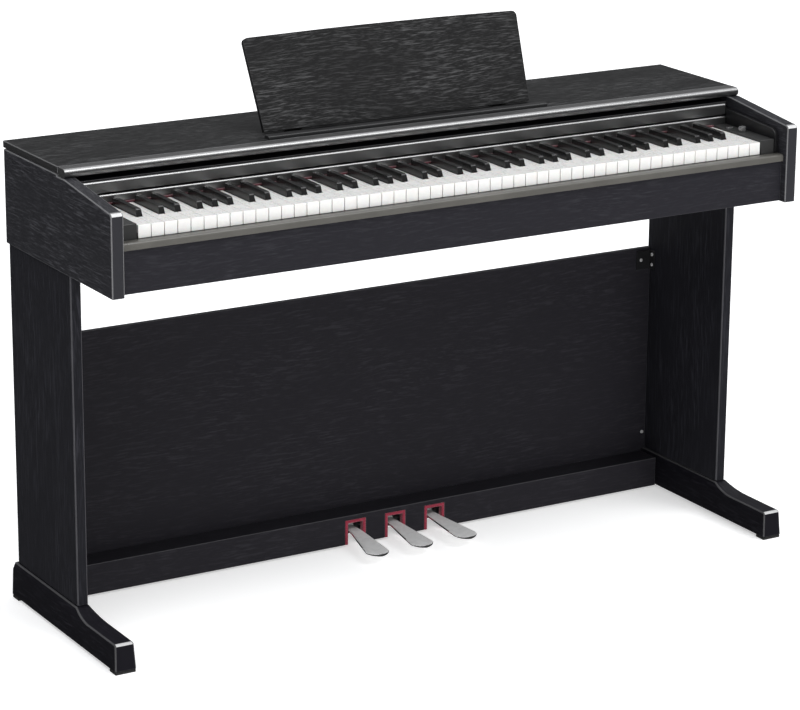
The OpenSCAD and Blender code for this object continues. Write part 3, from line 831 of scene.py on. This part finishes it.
def show(mesh: bpy.types.Mesh, name: str, finish: Finish, crease: float = 48.0) -> bpy.types.Object:
    """Makes an object of a mesh, smooth but for its creases.

    Args:
        mesh: The mesh.
        name: The piece's name.
        finish: Its finish, unless the mesh has a material already.
        crease: The least angle in degrees that stays sharp.

    Returns:
        The object.
    """
    if not mesh.materials:
        mesh.materials.append(finish.material())
    mesh.shade_smooth()
    mesh.set_sharp_from_angle(angle=math.radians(crease))
    obj = bpy.data.objects.new(name, mesh)
    bpy.context.scene.collection.objects.link(obj)
    weigh = obj.modifiers.new("weigh", "WEIGHTED_NORMAL")
    weigh.keep_sharp = True
    plain_copy(obj)
    return obj


# ---------------------------------------------------------------- geometry nodes


@dataclass(frozen=True)
class Repeat(ABC):
    """A geometry node tree that turns seed points into many small parts."""

    name: str
    finish: Finish

    @abstractmethod
    def sizes(self) -> dict[str, float]:
        """The tree's named inputs and their values."""

    @abstractmethod
    def grow(self, tree: Wiring, seeds: Signal, size: dict[str, Signal]) -> Signal:
        """Builds the tree's middle.

        Args:
            tree: The tree.
            seeds: The seed points.
            size: The named inputs.

        Returns:
            The geometry, which may still be instances.
        """

    def make(self, seeds: bpy.types.Mesh, name: str) -> bpy.types.Object:
        """Runs the tree on some seed points.

        Args:
            seeds: A mesh of points.
            name: The name of the new piece.

        Returns:
            The piece, as a plain mesh.
        """
        group = bpy.data.node_groups.new(self.name, "GeometryNodeTree")
        faces = group.interface
        faces.new_socket("Geometry", in_out="INPUT", socket_type="NodeSocketGeometry")
        faces.new_socket("Geometry", in_out="OUTPUT", socket_type="NodeSocketGeometry")
        keys = {key: faces.new_socket(key, in_out="INPUT", socket_type="NodeSocketFloat").identifier
                for key in self.sizes()}
        tree = Wiring(group)
        start = group.nodes.new("NodeGroupInput")
        size = {key: Signal(tree, start.outputs[key]) for key in keys}
        grown = self.grow(tree, Signal(tree, start.outputs["Geometry"]), size)
        real = tree.node("GeometryNodeRealizeInstances", None, {"Geometry": grown})
        dressed = tree.node("GeometryNodeSetMaterial", None, {
            "Geometry": real, "Material": self.finish.material()})
        end = group.nodes.new("NodeGroupOutput")
        group.links.new(dressed.socket, end.inputs["Geometry"])
        obj = bpy.data.objects.new(name, seeds)
        bpy.context.scene.collection.objects.link(obj)
        modifier = obj.modifiers.new("grow", "NODES")
        modifier.node_group = group
        for key, value in self.sizes().items():
            modifier[keys[key]] = value
        plain_copy(obj)
        mesh = obj.data
        mesh.shade_smooth()
        mesh.set_sharp_from_angle(angle=math.radians(40))
        return obj


@dataclass(frozen=True)
class Screws(Repeat):
    """Pan-head screws with a cross recess, one on each seed point, facing the point's "aim"."""

    radius: float = 3.3 * MM
    height: float = 1.9 * MM
    seed: int = 7

    def sizes(self) -> dict[str, float]:
        """See Repeat."""
        return {"Head Radius": self.radius, "Head Height": self.height, "Recess Width": 0.3 * self.radius}

    def grow(self, tree: Wiring, seeds: Signal, size: dict[str, Signal]) -> Signal:
        """See Repeat."""
        radius, height, width = size["Head Radius"], size["Head Height"], size["Recess Width"]

        def lift(part: Signal, amount: Signal) -> Signal:
            offset = tree.node("ShaderNodeCombineXYZ", None, {"Z": amount})
            return tree.node("GeometryNodeTransform", None, {"Geometry": part, "Translation": offset})

        rim = tree.node("GeometryNodeMeshCone", {"fill_type": "NGON"}, {
            "Vertices": 24, "Radius Top": radius * 0.96, "Radius Bottom": radius, "Depth": height * 0.55})
        dome = lift(tree.node("GeometryNodeMeshCone", {"fill_type": "NGON"}, {
            "Vertices": 24, "Radius Top": radius * 0.62, "Radius Bottom": radius * 0.96,
            "Depth": height * 0.4501}), height * 0.5499)
        bars = [tree.node("GeometryNodeMeshCube", None, {
            "Size": tree.node("ShaderNodeCombineXYZ", None, {"X": a, "Y": b, "Z": height})})
            for a, b in ((radius * 1.1, width), (width, radius * 1.1))]
        cross = lift(tree.node("GeometryNodeMeshBoolean", {"operation": "UNION"}, {"Mesh 2": bars}), height)
        head = tree.node("GeometryNodeMeshBoolean", {"operation": "UNION"}, {"Mesh 2": [rim, dome]})
        head = tree.node("GeometryNodeMeshBoolean", {"operation": "DIFFERENCE"},
                         {"Mesh 1": head, "Mesh 2": cross})
        aim = tree.node("GeometryNodeInputNamedAttribute", {"data_type": "FLOAT_VECTOR"}, {"Name": "aim"})
        turn = tree.node("FunctionNodeAlignRotationToVector", {"axis": "Z"}, {"Vector": aim})
        spin = tree.node("FunctionNodeRandomValue", {"data_type": "FLOAT"}, {
            "Max": math.pi / 2, "Seed": self.seed}, "Value_001")
        twist = tree.node("FunctionNodeAxisAngleToRotation", None, {"Axis": (0.0, 0.0, 1.0), "Angle": spin})
        turn = tree.node("FunctionNodeRotateRotation", {"rotation_space": "LOCAL"}, {
            "Rotation": turn, "Rotate By": twist})
        return tree.node("GeometryNodeInstanceOnPoints", None, {
            "Points": seeds, "Instance": head, "Rotation": turn})

    @staticmethod
    def seeds(places: Sequence[tuple[Vector, Vector]]) -> bpy.types.Mesh:
        """Seed points for screws.

        Args:
            places: Where each head sits, and the way it faces.

        Returns:
            The points.
        """
        mesh = bpy.data.meshes.new("screw_seeds")
        mesh.from_pydata([tuple(p) for p, _ in places], [], [])
        aims = mesh.attributes.new("aim", "FLOAT_VECTOR", "POINT")
        for i, (_, aim) in enumerate(places):
            aims.data[i].vector = aim
        return mesh


@dataclass(frozen=True)
class Perforation(Repeat):
    """A round sheet with rows of round holes on each seed point, its normal along Z."""

    radius: float = 52 * MM
    thickness: float = 1.6 * MM
    pitch: float = 4.4 * MM
    hole: float = 1.5 * MM
    margin: float = 3.5 * MM

    def sizes(self) -> dict[str, float]:
        """See Repeat."""
        return {"Radius": self.radius, "Thickness": self.thickness, "Pitch": self.pitch,
                "Hole Radius": self.hole, "Margin": self.margin}

    def grow(self, tree: Wiring, seeds: Signal, size: dict[str, Signal]) -> Signal:
        """See Repeat."""
        rows = 2 * int(self.radius / self.pitch) + 1
        span = size["Pitch"] * float(rows - 1)
        grid = tree.node("GeometryNodeMeshGrid", None, {
            "Size X": span, "Size Y": span, "Vertices X": rows, "Vertices Y": rows})
        spot = tree.node("GeometryNodeInputPosition")
        reach = tree.node("ShaderNodeVectorMath", {"operation": "LENGTH"}, {0: spot}, "Value")
        outside = tree.node("FunctionNodeCompare", {"operation": "GREATER_THAN"}, {
            "A": reach, "B": size["Radius"] - size["Margin"]})
        kept = tree.node("GeometryNodeDeleteGeometry", {"domain": "POINT"}, {
            "Geometry": grid, "Selection": outside})
        hole = tree.node("GeometryNodeCurvePrimitiveCircle", None, {
            "Resolution": 10, "Radius": size["Hole Radius"]})
        holes = tree.node("GeometryNodeRealizeInstances", None, {"Geometry": tree.node(
            "GeometryNodeInstanceOnPoints", None, {"Points": kept, "Instance": hole})})
        rim = tree.node("GeometryNodeCurvePrimitiveCircle", None,
                        {"Resolution": 96, "Radius": size["Radius"]})
        sheet = tree.node("GeometryNodeFillCurve", {"mode": "TRIANGLES"}, {
            "Curve": tree.node("GeometryNodeJoinGeometry", None, {"Geometry": [rim, holes]})})
        thick = tree.node("GeometryNodeExtrudeMesh", {"mode": "FACES"}, {
            "Mesh": sheet, "Offset Scale": size["Thickness"], "Individual": False})
        back = tree.node("GeometryNodeFlipFaces", None, {"Mesh": sheet})
        solid = tree.node("GeometryNodeMergeByDistance", None, {
            "Geometry": tree.node("GeometryNodeJoinGeometry", None, {"Geometry": [thick, back]}),
            "Distance": 0.01 * MM})
        return tree.node("GeometryNodeInstanceOnPoints", None, {"Points": seeds, "Instance": solid})


# ---------------------------------------------------------------- sub-assemblies


@dataclass
class SubAssembly(ABC):
    """A group of pieces that belong together."""

    pieces: list[bpy.types.Object] = field(default_factory=list, init=False)

    @abstractmethod
    def build(self) -> None:
        """Makes the group's pieces."""

    def keep(self, obj: bpy.types.Object, slot: Slot, body: str = "piano",
             stands_for: Sequence[str] = ()) -> None:
        """Fastens a piece to its body.

        Args:
            obj: The piece.
            slot: The record's material slot; not used.
            body: The body that it rides on.
            stands_for: The CAD nodes that it replaces.
        """
        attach(obj, body)
        if stands_for:
            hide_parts(*stands_for)
        self.pieces.append(obj)
        LOG.info("%s: %d faces on %s", obj.name, len(obj.data.polygons), body)

    def refined(self, node: str, finish: Finish, slot: Slot, width: float, segments: int = 3,
                where: Callable[[Vector], bool] | None = None, form: Form | None = None,
                clamp: bool = True, wear_and_highlight: float = 0.4) -> None:
        """Replaces a CAD node by its own shape with rounded edges.

        Args:
            node: The node's name.
            finish: The piece's finish.
            slot: The record's material slot.
            width: The width of the rounding.
            segments: How many strips the rounding has.
            where: Tells from an edge's middle whether it is rounded.
            form: The shape to round, if it isn't the node's own.
            clamp: Whether short edges hold the width back.
            wear_and_highlight: How strongly the rounding takes the lighter edge colour, a painted highlight,
                from 0 to 1.
        """
        shape = form or Form.of_node(node)
        if isinstance(finish, Woodgrain):
            shape.cut(finish.grain)
        shape.soften(width, segments, where, clamp, wear_and_highlight)
        obj = show(shape.mesh(node + "_skin"), node + "_skin", finish)
        self.keep(obj, slot, frame["nodes"][node]["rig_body"], (node,))


@dataclass
class Cabinet(SubAssembly):
    """The key unit's case: side panels, boards, rails, cheeks and end blocks."""

    panel_edge: float = 1.8 * MM
    panel_nose: float = 7.5 * MM
    board_edge: float = 1.4 * MM
    trim_edge: float = 0.8 * MM
    rear_screw_pitch: float = 210 * MM
    knob_bore: tuple[float, float] = (0.630, -0.105)
    bore_clearance: float = 6 * MM

    def build(self) -> None:
        """See SubAssembly."""
        for side in ("left", "right"):
            self.side_panel("side_panel_" + side)
            self.refined("end_block_" + side, BLOCK_FINISH, Slot.END_BLOCK, self.trim_edge, 2,
                         lambda p: (p.xy - Vector(self.knob_bore)).length > self.bore_clearance)
        self.refined("top_board", GRAIN_X, Slot.PANEL, self.board_edge)
        self.refined("top_moulding", TRIM, Slot.TRIM, 0.6 * MM, 2, clamp=False)
        self.refined("front_rail", RAIL_GRAIN, Slot.RAIL, self.trim_edge)
        self.refined("key_slip", SLIP_FINISH, Slot.SLIP, self.trim_edge, clamp=False)
        self.refined("cheeks", CHEEK_FINISH, Slot.CHEEK, 1.2 * MM, clamp=False)
        self.refined("fallboard", TRIM, Slot.TRIM, 0.6 * MM, 2, clamp=False)
        self.refined("key_bed", BED_BOARD, Slot.BED, self.trim_edge, 2)
        self.refined("rear_panel", BED_BOARD, Slot.BED, self.trim_edge, 2)
        self.refined("key_felt", DARK_FELT, Slot.KEY_FELT, 0.6 * MM, 2)
        self.rear_screws()

    def side_panel(self, node: str) -> None:
        """A side panel with a full painted highlight where its slope rounds into its front."""
        box = Box.of(node)
        # The nose faces are marked for the full painted highlight.
        form = Form.of_node(node).polish_and_highlight(
            lambda p, n: p.y < box.low.y + self.panel_nose and n.y < -0.12 and n.z > 0.12)
        self.refined(node, GRAIN_Y, Slot.PANEL, self.panel_edge, 3, None, form, False, 0.2)

    def rear_screws(self) -> None:
        """Two rows of screws that hold the rear panel."""
        back = Box.of("rear_panel")
        count = int(back.size.x / self.rear_screw_pitch)
        places = []
        for z in (back.low.z + 10 * MM, back.high.z - 14 * MM):
            for i in range(count + 1):
                x = back.low.x + 16 * MM + (back.size.x - 32 * MM) * i / count
                places.append((Vector((x, back.high.y, z)), Vector((0, 1, 0))))
        obj = Screws("rear_screw", SCREW_STEEL, 3.2 * MM, 1.6 * MM).make(Screws.seeds(places), "rear_screws")
        self.keep(obj, Slot.SCREW)


@dataclass
class KeyCover(SubAssembly):
    """The sliding cover over the keys and its lip."""

    def build(self) -> None:
        """See SubAssembly."""
        self.refined("key_cover", COVER_FINISH, Slot.COVER, 0.8 * MM)
        self.refined("cover_lip", TRIM, Slot.TRIM, 0.8 * MM, 2, clamp=False)


@dataclass
class MusicRest(SubAssembly):
    """The folding music rest with its props, hinges and ledge."""

    board_edge: float = 2.0 * MM
    hinge_clear: float = 6 * MM

    def build(self) -> None:
        """See SubAssembly."""
        pivots = {j["name"]: Vector(j["pos_m"]) for j in frame["joints"] if "pos_m" in j}
        axes = [pivots["rest_fold"], pivots["props_swing"]]

        def far(p: Vector) -> bool:
            return all((p.yz - a.yz).length > self.hinge_clear for a in axes)

        self.refined("music_rest", GRAIN_X, Slot.PANEL, self.board_edge, 3, far)
        self.refined("rest_props", STEEL, Slot.STEEL, 0.3 * MM, 2)
        self.refined("rest_hinges", STEEL, Slot.STEEL, 0.3 * MM, 2)
        self.refined("music_ledge", LEDGE_FINISH, Slot.TRIM, 0.5 * MM, 2, clamp=False)


@dataclass
class Keyboard(SubAssembly):
    """The 88 keys and the frame that they turn on."""

    white_edge: float = 0.9 * MM
    black_edge: float = 1.3 * MM
    tip_edge: float = 2.6 * MM
    tip_length: float = 9 * MM
    tip_height: float = 2 * MM
    rod_clear: float = 3.2 * MM

    def build(self) -> None:
        """See SubAssembly."""
        pivot = next(Vector(j["pos_m"]) for j in frame["joints"] if j["name"] == "key_c_press")

        def off_rod(p: Vector) -> bool:
            return (p.yz - pivot.yz).length > self.rod_clear

        slots = {s["node"]: s["material_slot"] for s in frame["record"]["subparts"]}
        for node in sorted(slots):
            if slots[node] == Slot.WHITE_KEY.value:
                self.refined(node, WHITE_KEY, Slot.WHITE_KEY, self.white_edge, 3, off_rod)
            elif slots[node] == Slot.BLACK_KEY.value:
                self.black_key(node, off_rod)
        self.refined("key_frame", STEEL, Slot.STEEL, 0.4 * MM, 2, off_rod)
        self.refined("key_rod", STEEL, Slot.STEEL, 0.3 * MM, 2)

    def black_key(self, node: str, off_rod: Callable[[Vector], bool]) -> None:
        """Black keys with a wider rounding over the top of their noses that carries painted highlight spots.

        Args:
            node: The CAD node, one key or a group of them.
            off_rod: Tells whether a place is clear of the rod.
        """
        box = Box.of(node)
        form = Form.of_node(node).soften(
            self.tip_edge, 4,
            lambda p: p.y < box.low.y + self.tip_length and p.z > box.high.z - self.tip_height, wear_and_highlight=1.0)
        self.refined(node, BLACK_KEY, Slot.BLACK_KEY, self.black_edge, 3, off_rod, form, wear_and_highlight=0.0)


@dataclass
class Controls(SubAssembly):
    """The power button and the volume knob."""

    grip_ribs: int = 28
    grip_depth: float = 0.35 * MM
    cap_edge: float = 1.0 * MM

    def build(self) -> None:
        """See SubAssembly."""
        self.refined("power_button", CONTROL_FINISH, Slot.CONTROL, 0.8 * MM)
        self.knob()

    def knob(self) -> None:
        """A ribbed cap on its stem, with a white pointer."""
        pivot = next(Vector(j["pos_m"]) for j in frame["joints"] if j["name"] == "volume_turn")
        box = Box.of("volume_knob")
        radius = box.size.x / 2
        cap_z = box.high.z - 9 * MM
        foot = Vector((pivot.x, pivot.y, 0))
        stem = Form.turned([(0, box.low.z), (3 * MM, box.low.z), (3 * MM, cap_z + 1 * MM),
                            (0, cap_z + 1 * MM)], foot, Vector((0, 0, 1)), 32)
        rings = []
        sides = self.grip_ribs * 4
        levels = [(cap_z, 0.3 * MM, 1.0), (cap_z + 0.5 * MM, 0.0, 1.0),
                  (box.high.z - 2 * self.cap_edge, 0.0, 1.0), (box.high.z - self.cap_edge, 0.15 * MM, 0.6),
                  (box.high.z - 0.3 * MM, 0.6 * MM, 0.0), (box.high.z, 1.5 * MM, 0.0)]
        for z, inset, rib in levels:
            ring = []
            for k in range(sides):
                angle = 2 * math.pi * k / sides
                wave = 0.5 - 0.5 * math.cos(angle * self.grip_ribs)
                r = radius - inset - rib * wave * self.grip_depth
                ring.append(foot + Vector((r * math.cos(angle), r * math.sin(angle), z)))
            rings.append(ring)
        cap = Form.lofted(rings).add(stem)
        self.keep(show(cap.mesh("volume_knob_cap"), "volume_knob_cap", CONTROL_FINISH), Slot.CONTROL,
                  "volume_knob", ("volume_knob",))
        top = box.high.z - 0.15 * MM
        pointer = Form.block((pivot.x - 0.4 * MM, pivot.y - radius + 1.8 * MM, top - 0.3 * MM),
                             (pivot.x + 0.4 * MM, pivot.y - 1 * MM, top + 0.15 * MM)).soften(0.1 * MM, 2)
        self.keep(show(pointer.mesh("volume_pointer"), "volume_pointer", MARK_FINISH), Slot.CONTROL,
                  "volume_knob")


@dataclass
class Electronics(SubAssembly):
    """The sound board, the speakers and the socket boxes."""

    board_edge: float = 0.25 * MM
    case_edge: float = 1.2 * MM
    bore_clearance: float = 4.2 * MM

    def build(self) -> None:
        """See SubAssembly."""
        self.refined("sound_board", CIRCUIT, Slot.CIRCUIT, self.board_edge, 2)
        self.speakers()
        for node, word in (("phones_box", "phones"), ("terminal_box", "dc")):
            self.refined(node, CASE_PLASTIC, Slot.SOCKET_BOX, self.case_edge, 3, self.clear_of_bores(word))
        self.socket_rings()

    @staticmethod
    def bores(word: str) -> list[dict[str, Any]]:
        """The record's bore mounts whose names start with a word."""
        return [m for m in frame["record"]["mounts"] if m["name"].startswith(word)]

    def clear_of_bores(self, word: str) -> Callable[[Vector], bool]:
        """A test that an edge lies clear of some bores."""
        holes = [Vector(m["pos_m"]) for m in self.bores(word)]
        return lambda p: all((p.xz - h.xz).length > self.bore_clearance for h in holes)

    def speakers(self) -> None:
        """Two drivers that face down through the key bed, each behind a perforated grille."""
        form = Form.of_node("speakers")
        drivers = [form.box_of(part) for part in form.islands()]
        form.bm.free()
        for side, box in zip(("a", "b"), sorted(drivers, key=lambda b: b.centre.x)):
            foot = Vector((box.centre.x, box.centre.y, box.low.z))
            self.driver(side, foot, box.size.x / 2, box.size.z)
        form = Form.of_node("speaker_grilles")
        discs = [form.box_of(part) for part in form.islands()]
        form.bm.free()
        seeds = bpy.data.meshes.new("grille_seeds")
        seeds.from_pydata([(b.centre.x, b.centre.y, b.low.z) for b in discs], [], [])
        disc = discs[0]
        sheet = Perforation("grille_sheet", POWDER, disc.size.x / 2, disc.size.z).make(
            seeds, "grille_sheets")
        self.keep(sheet, Slot.GRILLE, "piano", ("speaker_grilles",))

    def driver(self, side: str, foot: Vector, radius: float, depth: float) -> None:
        """One loudspeaker.

        Args:
            side: What its pieces' names end in.
            foot: The middle of its mounting face.
            radius: The radius of its flange.
            depth: How deep it is.
        """
        up = Vector((0, 0, 1))
        magnet = 0.52 * radius
        basket = Form.turned([
            (radius - 9 * MM, 0), (radius, 0), (radius, 3 * MM), (radius - 5 * MM, 4 * MM),
            (magnet + 2 * MM, depth - 18 * MM), (0.4 * magnet, depth - 18 * MM),
            (0.4 * magnet, depth - 20 * MM), (magnet, depth - 20 * MM), (radius - 8 * MM, 4 * MM)],
            foot, up, 48)
        cone = Form.turned([
            (0, 13 * MM), (10 * MM, 15 * MM), (12 * MM, 18 * MM), (radius - 14 * MM, 2.5 * MM),
            (radius - 14 * MM, 3.3 * MM), (12 * MM, 19.5 * MM), (0, 19.5 * MM)], foot, up, 48)
        roll = Form.turned([
            *arc((radius - 11.5 * MM, 2.5 * MM), 2.6 * MM, 180, 360, 8),
            (radius - 9.5 * MM, 3 * MM), (radius - 13.5 * MM, 3 * MM)], foot, up, 48)
        block = Form.turned([
            (0, depth - 17.8 * MM), (magnet, depth - 17.8 * MM), (magnet + 0.5 * MM, depth - 16 * MM),
            (magnet, depth - 1 * MM), (magnet - 1.5 * MM, depth), (0, depth)], foot, up, 48)
        stands_for = ("speakers",) if side == "a" else ()
        self.keep(show(basket.mesh("basket_" + side), "basket_" + side, STEEL), Slot.SPEAKER, "piano",
                  stands_for)
        for name, form, finish in (
                ("cone_", cone, PAPER), ("surround_", roll, BUTYL), ("magnet_", block, FERRITE)):
            self.keep(show(form.mesh(name + side), name + side, finish), Slot.SPEAKER)

    def socket_rings(self) -> None:
        """A plated ring round each phones socket and the supply inlet."""
        for mount in self.bores("phones") + self.bores("dc"):
            place, out = Vector(mount["pos_m"]), Vector(mount["axis"])
            bore = mount["dims"]["r_mm"] * MM
            profile = [(bore + 0.05 * MM, -0.6 * MM), (bore + 0.05 * MM, 0.8 * MM),
                       (bore + 0.6 * MM, 1.2 * MM), (bore + 2.2 * MM, 1.0 * MM),
                       (bore + 2.6 * MM, 0.1 * MM)]
            name = mount["name"] + "_ring"
            self.keep(show(Form.turned(profile, place, out).mesh(name), name, SCREW_STEEL), Slot.STEEL)


@dataclass
class Stand(SubAssembly):
    """Legs, feet, back board and the brackets that hold them together."""

    leg_edge: float = 2.2 * MM
    foot_edge: float = 2.2 * MM
    nose_edge: float = 5.0 * MM
    nose_length: float = 8 * MM
    nose_rise: float = 40 * MM
    nose_half_width: float = 5 * MM

    def build(self) -> None:
        """See SubAssembly."""
        for side in ("left", "right"):
            self.refined("leg_" + side, LEG_GRAIN, Slot.PANEL, self.leg_edge)
            self.foot("foot_" + side)
        self.refined("foot_pads", RUBBER, Slot.PAD, 1.0 * MM, 2)
        self.refined("back_board", BOARD_GRAIN, Slot.BOARD, 0.9 * MM, 2)
        self.refined("brackets", POWDER, Slot.BRACKET, 0.5 * MM, 2)
        self.screws()

    def foot(self, node: str) -> None:
        """A foot with a wide rounding over the top of its nose that carries a full painted highlight."""
        box = Box.of(node)
        form = Form.of_node(node)
        form.soften(self.nose_edge, 5,
                    lambda p: p.y < box.low.y + self.nose_length and p.z > box.low.z + self.nose_rise
                    and abs(p.x - box.centre.x) < self.nose_half_width, wear_and_highlight=1.0)
        self.refined(node, FOOT_GRAIN, Slot.PANEL, self.foot_edge, 3, None, form, False, 0.12)

    def screws(self) -> None:
        """The screws of the brackets and the back board, placed on the CAD screws."""
        form = Form.of_node("screws")
        places = []
        for part in form.islands():
            box = form.box_of(part)
            if box.size.x < box.size.y:
                inward = -1.0 if box.centre.x > 0 else 1.0
                base = Vector((box.high.x if inward < 0 else box.low.x, box.centre.y, box.centre.z))
                places.append((base, Vector((inward, 0, 0))))
            else:
                places.append((Vector((box.centre.x, box.high.y, box.centre.z)), Vector((0, -1, 0))))
        form.bm.free()
        screws = Screws("stand_screw", SCREW_STEEL, 3.4 * MM, 2.0 * MM).make(
            Screws.seeds(places), "stand_screws")
        self.keep(screws, Slot.SCREW, "piano", ("screws",))


@dataclass
class Pedals(SubAssembly):
    """The pedal box with its felts, bracket, axle, three pedals and the floor adjuster."""

    rows: int = 34
    tip_thickness: float = 4.8 * MM
    neck_reach: float = 39 * MM

    def build(self) -> None:
        """See SubAssembly."""
        self.refined("pedal_box", BOARD_GRAIN, Slot.BOARD, 1.2 * MM)
        self.refined("pedal_felts", RED_FELT, Slot.PEDAL_FELT, 1.2 * MM)
        self.refined("pedal_bracket", STEEL, Slot.STEEL, 0.4 * MM, 2, lambda p: p.z > 45 * MM)
        self.refined("pedal_axle", STEEL, Slot.STEEL, 0.4 * MM, 2)
        self.refined("adjuster", RUBBER, Slot.PAD, 0.6 * MM, 2)
        for name in ("left", "middle", "right"):
            self.pedal("pedal_" + name)

    def pedal(self, node: str) -> None:
        """A cast pedal: crowned, widening to a round tip, with a hub on the axle.

        Args:
            node: The CAD pedal that it replaces.
        """
        pivot = next(Vector(j["pos_m"]) for j in frame["joints"] if j["name"] == node + "_press")
        spots = [v.co for v in frame["nodes"][node].data.vertices]
        tip = min(p.y for p in spots)
        neck_x, neck = self.across(p for p in spots if p.y > pivot.y - 1 * MM)
        tip_x, wide = self.across(p for p in spots if p.y < tip + 22 * MM)
        high = pivot.z + 3.5 * MM
        drop = high - max(p.z for p in spots if p.y < tip + 2 * MM)
        neck_y = pivot.y - self.neck_reach
        rings = []
        for i in range(self.rows + 1):
            t = i / self.rows
            reach = t * t * (pivot.y - tip - 0.3 * MM)
            y = tip + 0.3 * MM + reach
            ease = min(1.0, max(0.0, (y - tip - wide) / (neck_y - tip - wide)))
            half = wide + (neck - wide) * ease
            if reach < wide:
                half = wide * math.sqrt(1 - (1 - (reach + 0.3 * MM) / wide) ** 2)
            middle = tip_x + (neck_x - tip_x) * ease
            top = high - drop * min(1.0, max(0.0, (neck_y - y) / (neck_y - tip)))
            thick = self.tip_thickness + 1.6 * MM * min(1.0, reach / (60 * MM))
            crown = 1.2 * MM * min(1.0, reach / (12 * MM))
            ring = []
            for k in range(24):
                angle = 2 * math.pi * k / 24
                c, s = math.cos(angle), math.sin(angle)
                x = half * math.copysign(abs(c) ** 0.45, c)
                z = top - thick / 2 + (thick / 2) * math.copysign(abs(s) ** 0.55, s)
                z -= crown * (x / half) ** 2 if s > 0 else 0.0
                ring.append(Vector((middle + x, y, z)))
            rings.append(ring)
        arm = Form.lofted(rings).polish_and_highlight(lambda p, n: abs(n.z) < 0.8)
        hub = Form.turned([(3.1 * MM, -neck), (6.4 * MM, -neck), (6.4 * MM, neck), (3.1 * MM, neck)],
                          Vector((neck_x, pivot.y, pivot.z)), Vector((1, 0, 0)), 32)
        self.keep(show(arm.add(hub).mesh(node + "_cast"), node + "_cast", PEDAL_METAL, 60), Slot.PEDAL,
                  node, (node,))

    @staticmethod
    def across(spots: Iterable[Vector]) -> Point2:
        """The middle and the half width of some points along X."""
        xs = [p.x for p in spots]
        return (min(xs) + max(xs)) / 2, (max(xs) - min(xs)) / 2


# ---------------------------------------------------------------- studio


@dataclass
class Studio:
    """Floor, light and camera."""

    azimuth: float = -30.64
    elevation: float = 16.66
    roll: float = 0.40
    lens: float = 142.3
    sensor: float = 36.0
    station: RGB = (-2.7325, -4.58014, 1.99267)
    floor_half: float = 40.0
    overhead_from: RGB = (0.32, -0.42, 0.85)
    overhead_power: float = 1.0
    overhead_angle: float = 30.0
    zenith: float = 1.3
    horizon: float = 0.05

    def build(self) -> None:
        """Makes the whole studio."""
        self.floor()
        self.world()
        self.sun()
        self.area("key_left", (-3.2, -1.4, 2.2), (-0.5, 0, 0.7), (2.0, 1.6), 12)
        self.area("fill_front", (0.6, -4.0, 1.0), (0, 0, 0.45), (3.0, 1.4), 60)
        self.camera()

    def floor(self) -> None:
        """A wide pale floor."""
        half = self.floor_half
        mesh = bpy.data.meshes.new("floor")
        mesh.from_pydata([(-half, -half, 0), (half, -half, 0), (half, half, 0), (-half, half, 0)], [],
                         [(0, 1, 2, 3)])
        mesh.materials.append(Backdrop("pale_floor").material())
        obj = bpy.data.objects.new("floor", mesh)
        obj.visible_glossy = False
        bpy.context.scene.collection.objects.link(obj)

    def world(self) -> None:
        """A dome that is bright overhead and dark round the horizon."""
        world = bpy.data.worlds.new("surround")
        world.use_nodes = True
        tree = Wiring(world.node_tree)
        up = tree.node("ShaderNodeSeparateXYZ", None, {
            "Vector": tree.node("ShaderNodeTexCoord", output="Generated")}, "Z")
        strength = up.between(0.3, 0.85) * (self.zenith - self.horizon) + self.horizon
        light = tree.node("ShaderNodeBackground", None,
                          {"Color": (0.97, 0.98, 1.0, 1.0), "Strength": strength})
        tree.node("ShaderNodeOutputWorld", None, {"Surface": light})
        bpy.context.scene.world = world
        bpy.context.scene.view_settings.view_transform = "Standard"

    def sun(self) -> None:
        """A wide soft light from overhead, a little in front and to the right."""
        lamp = bpy.data.lights.new("overhead", "SUN")
        lamp.energy = self.overhead_power
        lamp.angle = math.radians(self.overhead_angle)
        obj = bpy.data.objects.new("overhead", lamp)
        obj.rotation_euler = Vector(self.overhead_from).to_track_quat("Z", "Y").to_euler()
        bpy.context.scene.collection.objects.link(obj)

    def area(self, name: str, place: RGB, target: RGB, size: Point2, power: float) -> None:
        """One soft box that fills shadows and leaves no reflections.

        Args:
            name: Its name.
            place: Where it stands.
            target: The point that it faces.
            size: Its width and height.
            power: Its power in watts.
        """
        lamp = bpy.data.lights.new(name, "AREA")
        lamp.shape = "RECTANGLE"
        lamp.size, lamp.size_y = size
        lamp.energy = power
        obj = bpy.data.objects.new(name, lamp)
        obj.location = place
        obj.rotation_euler = (Vector(target) - Vector(place)).to_track_quat("-Z", "Y").to_euler()
        obj.visible_glossy = False
        bpy.context.scene.collection.objects.link(obj)

    def camera(self) -> None:
        """A long lens from the front left, a little above the keys."""
        az, el, roll = (math.radians(v) for v in (self.azimuth, self.elevation, self.roll))
        back = Vector((math.sin(az) * math.cos(el), -math.cos(az) * math.cos(el), math.sin(el)))
        level = Vector((math.cos(az), math.sin(az), 0))
        upright = back.cross(level)
        right = math.cos(roll) * level + math.sin(roll) * upright
        up = math.cos(roll) * upright - math.sin(roll) * level
        data = bpy.data.cameras.new("camera")
        data.lens = self.lens
        data.sensor_width = self.sensor
        obj = bpy.data.objects.new("camera", data)
        turn = Matrix((right, up, back)).transposed().to_4x4()
        turn.translation = Vector(self.station)
        obj.matrix_world = turn
        bpy.context.scene.collection.objects.link(obj)
        bpy.context.scene.camera = obj


def main() -> None:
    """Builds the studio and the piano."""
    logging.basicConfig(level=logging.INFO, format="%(name)s: %(message)s")
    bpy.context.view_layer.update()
    Studio().build()
    parts = (Cabinet(), KeyCover(), MusicRest(), Keyboard(), Controls(), Electronics(), Stand(), Pedals())
    for part in parts:
        part.build()
        LOG.info("%s: %d pieces", type(part).__name__, len(part.pieces))


if __name__ == "__main__":
    main()
